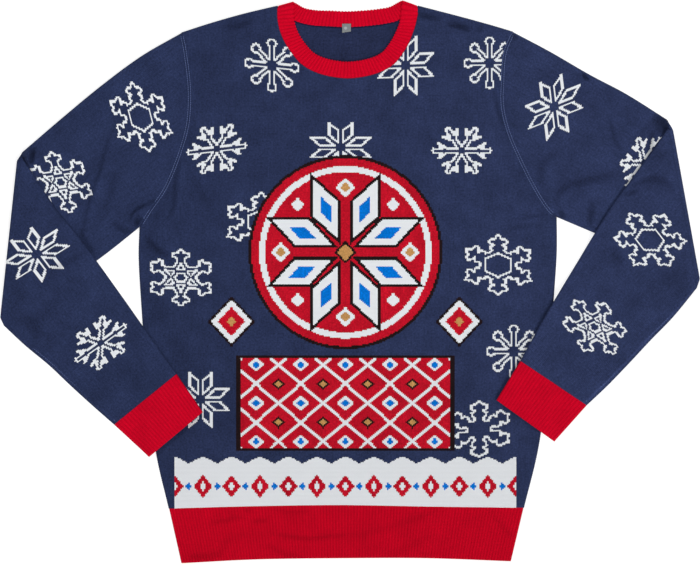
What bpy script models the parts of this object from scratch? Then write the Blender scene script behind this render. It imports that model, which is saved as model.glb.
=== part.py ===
"""Christmas sweater, lying flat on its back with both sleeves turned over at the elbow.

X runs across the chest, Y from the hem up to the neck and Z up from the surface it lies on.
The origin is the middle of the footprint, on that surface. Each piece of knit is a wall with an
outer and an inner face, both worked out on a grid of rows and columns.
"""

import bmesh
import bpy
import numpy as np

MM = 0.001  # the sizes below are millimetres, and a mesh is made in metres

# Knit
CLOTH = 2.0  # thickness of the plain knit
SEAM_GAP = 0.3  # between two pieces that are sewn together
LAYER_GAP = 0.3  # between two layers that lie on each other
AIR = 0.6  # between the two layers of a flattened sleeve
TUBE_HALF = CLOTH + AIR / 2  # half the height of a flattened sleeve
EDGE_ROUND = 4.0  # how far in from a turned edge the knit reaches its full height
FRONT_EDGE_DROP = 1.2  # the front's upper face at its turned edges, below its full height
BACK_EDGE_LIFT = 1.0  # the back's under face at its turned edges, off the surface

# Soft rise of the front over the back
BODY_LOFT = 0.5  # its mean height past the layer gap
BODY_WAVE = 0.14  # height of each of its two waves
LOFT_RUN = 60.0  # how far in from the panel's edges it is complete

# Ribs
RIB_HEIGHT = 0.6
RIB_FADE = 3.0  # a rib grows to its height over this length, from the seam
HEM_RIB_PITCH = 4.0
BAND_RIB_PITCH = 4.9
CUFF_RIB_PITCH = 4.8
RIB_EDGE_ROLL = 0.9  # how far the outer face comes in at a rib's free edge
HEM_UNDER_ROLL = 0.54  # how far the other face of the hem rib does
HEM_EDGE_LIFT = 0.96  # the back hem rib's under face at its turned sides, off the surface
BACK_HEM_COLUMNS = 30

# Neckband
BAND_WIDTH = 21.5
BAND_THICKNESS = 2.4
BAND_EDGE = 1.2  # the band thins over this length, at its free edge
BAND_EDGE_SHARE = 0.45  # share of its thickness that is left at the free edge
BAND_TURN_GAP = 1.0  # more room at the seam, where the band turns over at a shoulder point
BAND_LIFT = 0.1  # more room between its front and back arcs
TURN_STEPS = 4

# Elbow fold, where a sleeve turns over onto itself
FOLD_RADIUS = 3.5
FOLD_STEPS = 6
FOLD_CORNER = 7.0  # how far the ends of the fold are rounded off
FOLD_RELAX = 45.0  # past the fold, the forearm settles to its rest over this length
DRAPE_RUN = 24.0  # width over which the forearm falls from an edge it lies over to the surface
DRAPE_EDGE = 2.0  # and how far it keeps its full height past that edge
FOREARM_ON_BODY = 6.1  # height of the forearm's underside where it lies on the front panel
FOREARM_ON_SLEEVE = 2 * TUBE_HALF + LAYER_GAP + 0.1  # and where it lies on the upper arm

# Size label
LABEL_WIDTH = 12.5
LABEL_DROP = 12.0
LABEL_THICKNESS = 0.8
LABEL_CENTRE_X = -4.5
LABEL_TOP_Y = 335.0
LABEL_ON_BAND = 0.4  # share of its drop that lies on the neckband
LABEL_ON_PANEL = 0.62  # share from which it lies on the back panel

# The two side edges of the body, from the hem seam up to the underarms.
BODY_SIDES = (
    # left x, left y, right x, right y
    (-235, -295, 225.5, -294),
    (-252, -220, 245, -212),
    (-264, -120, 258, -110),
    (-270, -40, 264, -25),
    (-274, 28, 268, 36),
    (-273, 71, 268, 84),
)

# The hem seam and the lower edge of the hem rib, from left to right.
HEM_LINES = (
    # seam x, seam y, edge x, edge y
    (-235, -295, -219, -366),
    (-127, -292, -119, -361),
    (-13, -290.5, -10, -359.5),
    (107, -292.5, 100, -359.5),
    (225.5, -294, 209, -363.5),
)

# The armhole seams, from the shoulder tip down to the underarm.
ARMHOLES = (
    # left x, left y, right x, right y
    (-219, 323, 212, 324),
    (-214, 297, 201, 295),
    (-209, 256, 198, 256),
    (-209, 222, 198, 228),
    (-213, 194, 205, 197),
    (-225, 156, 219, 163),
    (-240, 121, 239, 123),
    (-259, 93, 256, 96),
    (-273, 71, 268, 84),
)

# The shoulder lines, from the shoulder tip up to the neckband.
SHOULDERS = (
    # left x, left y, right x, right y
    (-219, 323, 212, 324),
    (-182, 335, 182, 333),
    (-140, 347, 140, 344.5),
    (-94, 358, 88, 358),
)

# The neckband's seam round the front of the neck, from the left shoulder to the right, and
# the direction across the band from the seam to its free edge.
FRONT_NECK = (
    # seam x, seam y, direction in degrees from +X
    (-94, 358, 14),
    (-93.5, 339, 4),
    (-88.5, 320, 14),
    (-78, 301, 27),
    (-61, 281.5, 47),
    (-36, 269.5, 67),
    (-3, 264.5, 90),
    (30, 269.5, 113),
    (55, 281.5, 131),
    (71.5, 302, 154),
    (82, 325.5, 174),
    (87, 344, 180),
    (88, 358, 160),
)

# The same round the back of the neck, from the right shoulder to the left.
BACK_NECK = (
    # seam x, seam y, direction in degrees from +X
    (88, 358, 160),
    (77, 348, 138),
    (62, 338.5, 118),
    (43, 334, 107),
    (22, 331.5, 100),
    (-3, 330, 90),
    (-27, 331, 82),
    (-50, 332.5, 72),
    (-70, 337.5, 58),
    (-84, 347, 38),
    (-94, 358, 14),
)

# Sections across each flattened sleeve: the upper edge, which is the shoulder fold, and the
# under edge, which is the underarm seam. The upper arm runs from the armhole to the elbow
# fold, and the forearm from there to the cuff seam and the cuff's end.
LEFT_UPPER_ARM = (
    # upper edge x, y, under edge x, y
    (-219, 323, -273, 71),
    (-271, 293, -317, 36),
    (-322, 255.5, -361, 4.5),
    (-373, 213.5, -406, -26),
    (-426, 168, -449.5, -55),
)
LEFT_FOREARM = (
    # upper edge x, y, under edge x, y
    (-426, 162, -449.5, -57),
    (-386, 101, -421, -84),
    (-348, 52.5, -391, -109),
    (-308, -3, -363.5, -135),
    (-266, -62, -335, -161),
    (-225, -120, -306.5, -186),
)
LEFT_CUFF_END = (-191, -169.5, -261, -228)
RIGHT_UPPER_ARM = (
    # upper edge x, y, under edge x, y
    (212, 324, 268, 84),
    (261, 298, 313, 65),
    (311, 269, 359, 46),
    (360, 243, 403, 26),
    (412.5, 210, 450, -4),
)
RIGHT_FOREARM = (
    # upper edge x, y, under edge x, y
    (412.5, 198, 450.5, -8),
    (372, 142, 420, -46),
    (334, 89, 391, -76),
    (296.5, 27, 363, -106),
    (259, -35, 334.5, -135.5),
    (221, -103, 307.5, -161),
)
RIGHT_CUFF_END = (190, -154, 265.5, -208)

# What a forearm lies on: its own upper arm, which ends at the underarm seam, and the body,
# which ends at its side edge. Each line is two points, with the supporting piece to its left.
LEFT_SUPPORTS = (
    # start x, start y, end x, end y, height of the forearm's underside
    (-449.5, -50, -273, 71, FOREARM_ON_SLEEVE),
    (-270, -40, -251, -220, FOREARM_ON_BODY),
)
RIGHT_SUPPORTS = (
    # start x, start y, end x, end y, height of the forearm's underside
    (268, 84, 448, 10, FOREARM_ON_SLEEVE),
    (246, -212, 264, -25, FOREARM_ON_BODY),
)

# Grids. A panel has rows from the hem seam to the underarm, then one for each point across a
# sleeve, so that panel and sleeve share the points of the armhole seam.
SIDE_ROWS = 8
SIDE_FADE = 6  # power by which the bow of a panel's side edges dies out towards its middle
SHOULDER_COLUMNS = 6
FRONT_NECK_COLUMNS = 16
BACK_NECK_COLUMNS = 12
SLEEVE_SECTIONS = 7
ARMHOLE_FADE = 0.71  # share of the upper arm over which the armhole's curve straightens out
ACROSS = np.array([0, 0.012, 0.05, 0.15, 0.28, 0.42, 0.57, 0.72, 0.86, 0.95, 0.988, 1])
CURVE_STEPS = 24  # points worked out between two rows of a table
SHARP_ANGLE = 50  # degrees

# Linear colours
NAVY = (0.024, 0.033, 0.087)
NAVY_INSIDE = (0.019, 0.027, 0.071)
RED = (0.546, 0.006, 0.017)
LABEL_GREY = (0.2, 0.212, 0.22)
YARN_ROUGHNESS = 0.9


def length_shares(points):
    """Share of the length of a run of points that lies before each of them."""
    steps = np.linalg.norm(np.diff(points[:, :2], axis=0), axis=1)
    length = np.concatenate([[0], np.cumsum(steps)])
    return length / length[-1]


def read_at(points, places, wanted):
    """A run of points read at the wanted places between its own places."""
    return np.column_stack([np.interp(wanted, places, column) for column in points.T])


def smooth_curve(points, shares):
    """Points at the given shares of the length of a Catmull-Rom curve through the points."""
    points = np.asarray(points, float)
    ends = np.vstack([2 * points[0] - points[1], points, 2 * points[-1] - points[-2]])
    before, here, there, after = ends[:-3], ends[1:-2], ends[2:-1], ends[3:]
    t = np.linspace(0, 1, CURVE_STEPS, endpoint=False)[:, None, None]
    run = 0.5 * (
        2 * here
        + (there - before) * t
        + (2 * before - 5 * here + 4 * there - after) * t**2
        + (3 * here - before - 3 * there + after) * t**3
    )
    run = np.vstack([run.transpose(1, 0, 2).reshape(-1, points.shape[1]), points[-1:]])
    return read_at(run, length_shares(run), shares)


def columns_of(table, *wanted):
    """The wanted columns of a table, as an array of points."""
    return np.array(table, float)[:, list(wanted)]


def smoothstep(value):
    """0 up to a value of 0, 1 from a value of 1, and a soft step between."""
    value = np.clip(value, 0, 1)
    return value * value * (3 - 2 * value)


def rounded(distance, radius):
    """Quarter ellipse: 0 at an edge, rising to 1 one radius in from it."""
    inside = 1 - np.clip(distance / radius, 0, 1)
    return np.sqrt(1 - inside**2)


def unit(vectors):
    """The vectors, each one long."""
    return vectors / np.linalg.norm(vectors, axis=-1, keepdims=True)


def filled_outline(south, north, west, east):
    """Grid of plan points that fills four edge curves, with rows from south to north.

    Straight lines run from the south edge to the north one. How far the west and east edges
    bow from such a line is then added to each row, and fades fast towards the middle.
    """
    u = length_shares(north)[None, :, None]
    v = ((length_shares(west) + length_shares(east)) / 2)[:, None, None]
    ruled = (1 - v) * south[None] + v * north[None]
    west_bow = west[:, None] - ruled[:, :1]
    east_bow = east[:, None] - ruled[:, -1:]
    return ruled + (1 - u) ** SIDE_FADE * west_bow + u**SIDE_FADE * east_bow


def knit_material(name, colour):
    """Matt yarn: nearly full roughness, no metal."""
    material = bpy.data.materials.new(name + "_knit")
    material.use_nodes = True
    shader = material.node_tree.nodes["Principled BSDF"]
    shader.inputs["Base Color"].default_value = (*colour, 1)
    shader.inputs["Roughness"].default_value = YARN_ROUGHNESS
    shader.inputs["Metallic"].default_value = 0.0
    material.diffuse_color = (*colour, 1)
    return material


def wall_object(name, outer, inner, colour, closed=False):
    """One closed solid between two grids of points, with strips that join their borders.

    With closed set, the columns run round a ring, so only the first and last rows are borders.
    """
    rows, columns = outer.shape[:2]
    points = np.concatenate([outer.reshape(-1, 3), inner.reshape(-1, 3)]) * MM
    index = np.arange(rows * columns).reshape(rows, columns)
    if closed:
        index = np.hstack([index, index[:, :1]])
    under = index + rows * columns

    def quads(a, b, c, d):
        return np.stack([a, b, c, d], axis=-1).reshape(-1, 4)

    faces = [
        quads(index[:-1, :-1], index[:-1, 1:], index[1:, 1:], index[1:, :-1]),
        quads(under[:-1, :-1], under[1:, :-1], under[1:, 1:], under[:-1, 1:]),
        quads(index[0, 1:], index[0, :-1], under[0, :-1], under[0, 1:]),
        quads(index[-1, :-1], index[-1, 1:], under[-1, 1:], under[-1, :-1]),
    ]
    if not closed:
        faces.append(quads(index[:-1, 0], index[1:, 0], under[1:, 0], under[:-1, 0]))
        faces.append(quads(index[1:, -1], index[:-1, -1], under[:-1, -1], under[1:, -1]))
    mesh = bpy.data.meshes.new(name)
    mesh.from_pydata(points.tolist(), [], np.concatenate(faces).tolist())
    shell = bmesh.new()
    shell.from_mesh(mesh)
    if shell.calc_volume(signed=True) < 0:
        bmesh.ops.reverse_faces(shell, faces=shell.faces)
    bmesh.ops.triangulate(shell, faces=shell.faces, quad_method="SHORT_EDGE")
    shell.to_mesh(mesh)
    shell.free()
    mesh.shade_smooth()
    mesh.set_sharp_from_angle(angle=np.radians(SHARP_ANGLE))
    mesh.materials.append(knit_material(name, colour))
    garment.objects.link(bpy.data.objects.new(name, mesh))


def body_outline(neck_points, neck_columns):
    """The four edge curves of a panel that has the given neck seam: south, north, west, east."""
    side_shares = np.linspace(0, 1, SIDE_ROWS + 1)
    sides = []
    for pair in ((0, 1), (2, 3)):
        side = smooth_curve(columns_of(BODY_SIDES, *pair), side_shares)
        armhole = smooth_curve(columns_of(ARMHOLES, *pair), ACROSS)[::-1]
        sides.append(np.vstack([side, armhole[1:]]))
    shoulder_shares = np.linspace(0, 1, SHOULDER_COLUMNS + 1)
    left_shoulder = smooth_curve(columns_of(SHOULDERS, 0, 1), shoulder_shares)
    right_shoulder = smooth_curve(columns_of(SHOULDERS, 2, 3), shoulder_shares)[::-1]
    neck = smooth_curve(neck_points, np.linspace(0, 1, neck_columns + 1))
    north = np.vstack([left_shoulder, neck[1:], right_shoulder[1:]])
    south = smooth_curve(columns_of(HEM_LINES, 0, 1), length_shares(north))
    return south, north, *sides


def edge_distance(plan):
    """Distance of each grid point in from the four edges: hem, top, left and right."""
    along = np.linalg.norm(np.diff(plan, axis=0), axis=2)
    across = np.linalg.norm(np.diff(plan, axis=1), axis=2)
    up = np.vstack([np.zeros(plan.shape[1]), np.cumsum(along, axis=0)])
    right = np.hstack([np.zeros((plan.shape[0], 1)), np.cumsum(across, axis=1)])
    return up, up[-1] - up, right, right[:, -1:] - right


def body_swell(plan):
    """Soft, uneven rise of the front panel: two crossing waves, and nothing at its edges."""
    x, y = plan[..., 0], plan[..., 1]
    waves = np.sin(x / 61 + y / 210) + np.sin(y / 83 - x / 150 + 1.1)
    edges = np.minimum.reduce(edge_distance(plan))
    return (BODY_LOFT + BODY_WAVE * waves) * smoothstep(edges / LOFT_RUN)


def front_panel():
    """Front of the body, which lies on the back with a soft rise between its edges."""
    plan = filled_outline(*body_outline(columns_of(FRONT_NECK, 0, 1), FRONT_NECK_COLUMNS))
    turned = rounded(np.minimum.reduce(edge_distance(plan)[1:]), EDGE_ROUND)
    low = CLOTH + LAYER_GAP + body_swell(plan)
    high = low + CLOTH - FRONT_EDGE_DROP * (1 - turned)
    wall_object("front_panel", np.dstack([plan, high]), np.dstack([plan, low]), NAVY)


def back_panel():
    """Back of the body, flat on the surface, with its turned edges a little off it."""
    plan = filled_outline(*body_outline(columns_of(BACK_NECK, 0, 1)[::-1], BACK_NECK_COLUMNS))
    turned = rounded(np.minimum.reduce(edge_distance(plan)[1:]), EDGE_ROUND)
    low = BACK_EDGE_LIFT * (1 - turned)
    high = np.full(low.shape, CLOTH)
    wall_object("back_panel", np.dstack([plan, high]), np.dstack([plan, low]), NAVY_INSIDE)


def hem_plan(columns):
    """Plan grid of the hem rib: rows at the seam, where the ribs are full, and at the edge."""
    shares = np.linspace(0, 1, columns + 1)
    seam = smooth_curve(columns_of(HEM_LINES, 0, 1), shares)
    edge = smooth_curve(columns_of(HEM_LINES, 2, 3), shares)
    length = np.linalg.norm(edge - seam, axis=1).mean()
    down = np.array([SEAM_GAP, RIB_FADE, length - CLOTH / 2, length]) / length
    return seam[None] + down[:, None, None] * (edge - seam)[None]


def front_hem_rib():
    """Ribbed band under the front. Its ribs are raised in the upper face only."""
    ribs = round(np.ptp(columns_of(HEM_LINES, 0)) / HEM_RIB_PITCH)
    plan = hem_plan(2 * ribs)
    crest = np.arange(2 * ribs + 1)[None] % 2 * RIB_HEIGHT
    rise = np.array([0, 1, 1, 0.4])[:, None]
    free_edge = np.array([0, 0, 0, 1])[:, None]
    turned = rounded(np.minimum(*edge_distance(plan)[2:]), EDGE_ROUND)
    floor = CLOTH + LAYER_GAP
    low = floor + HEM_UNDER_ROLL * free_edge + 0 * turned
    drop = FRONT_EDGE_DROP * (1 - turned) * (1 - free_edge)
    high = floor + CLOTH - RIB_EDGE_ROLL * free_edge - drop + crest * rise
    wall_object("front_hem_rib", np.dstack([plan, high]), np.dstack([plan, low]), RED)


def back_hem_rib():
    """The same band under the back, plain on the side that lies on the surface."""
    plan = hem_plan(BACK_HEM_COLUMNS)
    free_edge = np.array([0, 0, 0, 1])[:, None]
    turned = rounded(np.minimum(*edge_distance(plan)[2:]), EDGE_ROUND)
    low = HEM_UNDER_ROLL * free_edge + HEM_EDGE_LIFT * (1 - turned) * (1 - free_edge)
    high = CLOTH - HEM_UNDER_ROLL * free_edge + 0 * turned
    wall_object("back_hem_rib", np.dstack([plan, high]), np.dstack([plan, low]), RED)


def neckband_arc(table, columns, height, facing, trim):
    """Sections along one arc of the neckband: seam points, directions across and facings."""
    corners = smooth_curve(table, np.linspace(0, 1, columns + 1))
    steps = np.linalg.norm(np.diff(corners[:, :2], axis=0), axis=1)
    length = np.concatenate([[0], np.cumsum(steps)])
    count = 2 * round(length[-1] / BAND_RIB_PITCH)
    seam = read_at(corners, length, np.linspace(trim, length[-1] - trim, count + 1))
    lean = np.radians(seam[:, 2])
    across = np.column_stack([np.cos(lean), np.sin(lean), 0 * lean])
    middle = np.column_stack([seam[:, :2], np.full(count + 1, height)])
    normal = np.tile([0.0, 0.0, facing], (count + 1, 1))
    return middle, across, normal


def neckband_sections():
    """All sections round the neckband.

    The front arc lies at the front's level and the back arc at the back's. Between them the
    band turns over about a line across it, at each shoulder point.
    """
    low_mid = BAND_THICKNESS / 2
    high_mid = low_mid + BAND_THICKNESS + LAYER_GAP + BAND_LIFT
    turn = (high_mid - low_mid) / 2
    front = neckband_arc(FRONT_NECK, FRONT_NECK_COLUMNS, high_mid, 1, turn + low_mid)
    back = neckband_arc(BACK_NECK, BACK_NECK_COLUMNS, low_mid, -1, turn + low_mid)
    parts = []
    for this, other, facing in ((front, back, 1), (back, front, -1)):
        parts.append(this)
        lean = unit(this[1][-1] + other[1][0])
        outward = np.array([-lean[1], lean[0], 0]) * np.sign(lean[0])
        centre = (this[0][-1] + other[0][0]) / 2
        for angle in np.linspace(0, np.pi, TURN_STEPS + 1)[1:-1]:
            spoke = facing * np.cos(angle) * np.array([0, 0, 1]) + np.sin(angle) * outward
            parts.append((centre + turn * spoke, lean, spoke))
    return tuple(np.vstack([np.atleast_2d(part[k]) for part in parts]) for k in range(3))


def neckband():
    """One ring of rib, open at its free edge and flat where it lies on the surface."""
    middle, across, normal = neckband_sections()
    reach = np.array([SEAM_GAP, RIB_FADE, BAND_WIDTH - BAND_EDGE, BAND_WIDTH])[:, None]
    thick = np.array([1, 1, 1, BAND_EDGE_SHARE])[:, None] * BAND_THICKNESS / 2
    rise = np.array([0, 1, 1, 0.3])[:, None] * RIB_HEIGHT
    crest = np.arange(len(middle)) % 2
    upright = np.abs(normal[:, 2])
    at_turn = np.roll(upright, 1) + np.roll(upright, -1) < 1.99
    start = reach + BAND_TURN_GAP * at_turn * (reach == SEAM_GAP)
    base = middle[None] + start[..., None] * across[None]
    above = thick + rise * crest * np.clip(normal[:, 2], 0, 1)
    below = thick + rise * crest * np.clip(-normal[:, 2], 0, 1)
    outer = base + above[..., None] * normal[None]
    inner = base - below[..., None] * normal[None]
    wall_object("neckband", outer, inner, RED, closed=True)


def drape_height(plan, supports):
    """Height of the forearm's underside: on the upper arm, on the body or on the surface."""
    heights = [np.zeros(plan.shape[:-1])]
    for start_x, start_y, end_x, end_y, top in supports:
        way = unit(np.array([end_x - start_x, end_y - start_y], float))
        offset = plan - np.array([start_x, start_y], float)
        inside = way[0] * offset[..., 1] - way[1] * offset[..., 0]
        heights.append(top * smoothstep((inside + DRAPE_RUN) / (DRAPE_RUN - DRAPE_EDGE)))
    return np.maximum.reduce(heights)


def tube_wall(name, middle, normal, across, colour, rib):
    """Flattened tube: each section has a layer above and a layer below its middle line.

    The outer face closes at the tube's two turned edges, and the inner face stops one cloth
    short of them. The rib is the raise of the outer face for each section and point.
    """
    width = np.linalg.norm(middle[:, -1] - middle[:, 0], axis=1)[:, None]
    depth = np.minimum(across, 1 - across)[None] * width
    turned = rounded(depth, EDGE_ROUND)
    inner_share = CLOTH / width + (1 - 2 * CLOTH / width) * across[None]
    inner_middle = np.stack([read_at(row, across, share) for row, share in zip(middle, inner_share)])

    def ring(line, height):
        above = line + height[..., None] * normal
        below = line - height[..., None] * normal
        return np.concatenate([above, below[:, -2:0:-1]], axis=1)

    outer = ring(middle, TUBE_HALF * turned + rib)
    inner = ring(inner_middle, (TUBE_HALF - CLOTH) * turned)
    wall_object(name, outer, inner, colour, closed=True)


def arm_plan(table):
    """Plan points of one part of an arm: sections between its upper and its under edge."""
    shares = np.linspace(0, 1, SLEEVE_SECTIONS + 1)
    upper = smooth_curve(columns_of(table, 0, 1), shares)[:, None]
    under = smooth_curve(columns_of(table, 2, 3), shares)[:, None]
    return upper + ACROSS[None, :, None] * (under - upper)


def elbow_fold(last, first):
    """Sections that turn an arm over, from the upper arm's last row to the forearm's first."""
    axis_way = unit(last[-1] - last[0])
    outward = np.array([axis_way[1], -axis_way[0], 0]) * np.sign(axis_way[1] * last[0, 0])
    middle, normal = [], []
    for share in np.linspace(0, 1, FOLD_STEPS + 1)[1:-1]:
        angle = np.pi * share
        row = (1 - share) * last + share * first
        row = row + np.outer(1 - 2 * ACROSS, axis_way) * FOLD_CORNER * np.sin(angle)
        spoke = np.sin(angle) * outward - np.cos(angle) * np.array([0, 0, 1])
        level = np.column_stack([row, np.full(len(row), TUBE_HALF + FOLD_RADIUS)])
        middle.append(level + FOLD_RADIUS * spoke)
        normal.append(-spoke)
    return middle, normal, outward[:2]


def sleeve(name, armhole, upper_arm, forearm, supports):
    """Flattened sleeve that runs to the elbow, turns over and comes back above itself."""
    seam = smooth_curve(armhole, ACROSS)
    bow = seam - (seam[0] + ACROSS[:, None] * (seam[-1] - seam[0]))
    straighten = 1 - smoothstep(np.linspace(0, 1, SLEEVE_SECTIONS + 1) / ARMHOLE_FADE)
    upper = arm_plan(upper_arm) + straighten[:, None, None] * bow[None]
    lower = arm_plan(forearm)
    along_seam = unit(np.gradient(seam, axis=0))
    off_panel = np.column_stack([-along_seam[:, 1], along_seam[:, 0]]) * np.sign(seam[0, 0])
    upper[0] = seam + 1.2 * SEAM_GAP * off_panel
    lower[-1] += SEAM_GAP / 2 * unit(lower[-2] - lower[-1])
    fold_middle, fold_normal, outward = elbow_fold(upper[-1], lower[0])
    flat = np.dstack([upper, np.full(upper.shape[:2], TUBE_HALF)])
    away = np.abs((lower - lower[0, 0]) @ outward)
    rest = drape_height(lower, supports) + TUBE_HALF
    fold_top = TUBE_HALF + 2 * FOLD_RADIUS
    settle = smoothstep(away / FOLD_RELAX)
    height = np.maximum((1 - settle) * fold_top + settle * rest, rest)
    middle = np.array([*flat, *fold_middle, *np.dstack([lower, height])])
    normal = [(0, 0, 1)] * len(upper) + fold_normal + [(0, 0, -1)] * len(lower)
    normal = np.array(normal, float)[:, None, :]
    tube_wall(name, middle, normal, ACROSS, NAVY, 0)


def cuff(name, forearm, cuff_end, supports):
    """Ribbed tube past the forearm, with raised ribs all round."""
    seam = np.array(forearm[-1], float).reshape(2, 2)
    end = np.array(cuff_end, float).reshape(2, 2)
    ribs = round(np.linalg.norm(seam[1] - seam[0]) / CUFF_RIB_PITCH)
    across = np.linspace(0, 1, 2 * ribs + 1)
    length = np.linalg.norm(end.mean(axis=0) - seam.mean(axis=0))
    down = np.array([SEAM_GAP / 2, RIB_FADE, length - 1.0, length]) / length
    edges = seam[None] + down[:, None, None] * (end - seam)[None]
    plan = edges[:, :1] + across[None, :, None] * (edges[:, 1:] - edges[:, :1])
    height = drape_height(plan, supports) + TUBE_HALF + RIB_HEIGHT
    crest = np.arange(len(across))[None] % 2 * np.array([0, 1, 1, 0.2])[:, None]
    between = (across > 0) & (across < 1)
    roll = np.array([0, 0, 0, 1])[:, None] * between * RIB_EDGE_ROLL
    down_facing = np.array([0, 0, -1.0])
    tube_wall(name, np.dstack([plan, height]), down_facing, across, RED, RIB_HEIGHT * crest - roll)


def size_label():
    """Woven tab that lies over the back neck seam, on the band and on the panel."""
    on_band = BAND_THICKNESS + RIB_HEIGHT + LAYER_GAP
    on_panel = CLOTH + LAYER_GAP
    rows = np.array([0, LABEL_ON_BAND, LABEL_ON_PANEL, 1])
    x = LABEL_CENTRE_X + LABEL_WIDTH * np.array([-0.5, 0.5])
    plan = np.dstack(np.meshgrid(x, LABEL_TOP_Y - LABEL_DROP * rows))
    low = np.repeat(np.array([on_band, on_band, on_panel, on_panel])[:, None], 2, axis=1)
    inner = np.dstack([plan, low])
    wall_object("size_label", inner + [0, 0, LABEL_THICKNESS], inner, LABEL_GREY)


for old in list(bpy.data.objects):
    bpy.data.objects.remove(old)
garment = bpy.data.collections.new("christmas_sweater")
bpy.context.scene.collection.children.link(garment)

front_panel()
back_panel()
front_hem_rib()
back_hem_rib()
neckband()
sleeve("left_sleeve", columns_of(ARMHOLES, 0, 1), LEFT_UPPER_ARM, LEFT_FOREARM, LEFT_SUPPORTS)
sleeve("right_sleeve", columns_of(ARMHOLES, 2, 3), RIGHT_UPPER_ARM, RIGHT_FOREARM, RIGHT_SUPPORTS)
cuff("left_cuff", LEFT_FOREARM, LEFT_CUFF_END, LEFT_SUPPORTS)
cuff("right_cuff", RIGHT_FOREARM, RIGHT_CUFF_END, RIGHT_SUPPORTS)
size_label()
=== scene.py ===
"""Christmas sweater, lying flat: the looks of each knitted piece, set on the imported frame.

Each piece of knit is a thin wall between two grids of points, on the form of the CAD node that it
replaces. Sizes in the tables are millimetres, and meshes are made in metres. X runs across the
chest, Y from the hem up to the neck and Z up from the surface it lies on.
"""

from functools import partial

import bpy
import numpy as np
from bpy.props import FloatProperty, FloatVectorProperty, PointerProperty
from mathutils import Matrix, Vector


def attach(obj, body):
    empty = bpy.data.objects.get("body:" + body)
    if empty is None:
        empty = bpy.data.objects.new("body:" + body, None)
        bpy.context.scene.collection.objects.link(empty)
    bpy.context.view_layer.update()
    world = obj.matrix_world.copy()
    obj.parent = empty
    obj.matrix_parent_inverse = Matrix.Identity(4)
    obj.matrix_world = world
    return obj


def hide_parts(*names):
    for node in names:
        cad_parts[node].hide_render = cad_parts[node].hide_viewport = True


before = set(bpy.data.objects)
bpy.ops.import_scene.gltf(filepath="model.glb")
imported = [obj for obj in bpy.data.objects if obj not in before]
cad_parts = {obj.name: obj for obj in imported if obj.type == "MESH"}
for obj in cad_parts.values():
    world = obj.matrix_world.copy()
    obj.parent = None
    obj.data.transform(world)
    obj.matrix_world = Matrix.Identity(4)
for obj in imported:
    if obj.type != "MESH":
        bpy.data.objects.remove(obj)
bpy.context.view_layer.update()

bl_info = {
    "name": "Christmas Sweater",
    "version": (1, 0, 0),
    "blender": (4, 5, 0),
    "location": "View3D > Sidebar > Sweater",
    "description": "Knitted pieces of a christmas sweater, with their stitches, ribs and seams",
    "category": "Add Mesh",
}

MM = 0.001

# Form of the knit, as in the solids
CLOTH = 2.0  # thickness of the plain knit
SEAM_GAP = 0.06  # between two pieces that are sewn together
LAYER_GAP = 0.3  # between two layers that lie on each other
TUBE_HALF = 2.3  # half the height of a flattened sleeve
EDGE_ROUND = 3.0  # how far in from a turned edge the knit reaches its full height
FRONT_EDGE_DROP = 1.2  # the front's upper face at its turned edges, below its full height
BACK_EDGE_LIFT = 1.0  # the back's under face at its turned edges, off the surface
BODY_LOFT = 0.5  # soft rise of the front over the back
BODY_WAVE = 0.14
LOFT_RUN = 60.0  # how far in from the panel's edges it is complete
RIB_FADE = 3.0  # a rib grows to its height over this length, from the seam
RIB_EDGE_ROLL = 0.9  # how far the outer face comes in at a rib's free edge
HEM_UNDER_ROLL = 0.54  # how far the other face of a hem rib does
HEM_EDGE_LIFT = 0.96
BAND_WIDTH = 21.5
BAND_THICKNESS = 2.4
BAND_LIFT = 0.1
BAND_TURN_GAP = 1.0
BAND_SCALLOP = 0.9  # how far the neckband's free edge comes in between two ribs
FOLD_RADIUS = 3.5  # of the elbow fold
FOLD_CORNER = 7.0
FOLD_RELAX = 45.0  # past the fold, the forearm settles to its rest over this length
FOLD_TOP = TUBE_HALF + 2 * FOLD_RADIUS
DRAPE_RUN = 24.0  # width over which the forearm falls from an edge it lies over
DRAPE_EDGE = 2.0
FOREARM_ON_BODY = 6.1
FOREARM_ON_SLEEVE = 2 * TUBE_HALF + LAYER_GAP + 0.1
UNDERARM_INSET = 4.6  # from the forearm's under edge to its seam
UNDERARM_RIDGE = 0.7
BODY_SWELL, HEM_SWELL, SLEEVE_SWELL, CUFF_SWELL = 0.5, 0.5, 0.8, 0.6  # low uneven waves
CREASE_SHADE = 0.07  # painted shade: how much darker a crease is for each millimetre of its depth
LOW_SHADE = 0.1  # how much darker the front gets down to the hem
STRIP_HALF = 2.6  # half the width of the armhole seam
STRIP_LEVEL = 4.15
LABEL_WIDTH = 11.6
LABEL_DROP = 11.0
LABEL_THICKNESS = 0.8
LABEL_SKEW = 0.15
LABEL_CENTRE_X = -4.5
LABEL_TOP_Y = 335.0
LABEL_MARK = (-1.2, 0.52, 1.9)  # from the centre, share of the drop, and radius

# Sewing and linking. A stitch has a pitch, a length and a radius, and a chain a radius and the
# length of one link.
ARMHOLE_STITCH = (2.9, 2.6, 0.32)
ARMHOLE_ROWS = ((-1.55, 0.82), (1.55, 1.2))  # beside the seam, and above its level
UNDERARM_STITCH = (3.0, 2.0, 0.3)
UNDERARM_LIFT = 0.9  # of that row's middle line
NECK_CHAIN = (0.9, 4.9)
BACK_NECK_CHAIN = (1.0, 4.9)
SIDE_CHAIN = (0.7, 3.0)
END_CHAIN = (0.6, 3.0)  # at the hem ribs and the cuffs
CHAIN_POINTS = 300

# Stage, in metres
FLOOR_HALF = 4.0
FLOOR_DROP = 0.0002  # below the surface that the garment lies on
FLOOR_GLOW = 0.72
LAMP_SPREAD = 22  # degrees
CAMERA_Y = -0.00065  # over the middle of the outline

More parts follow.
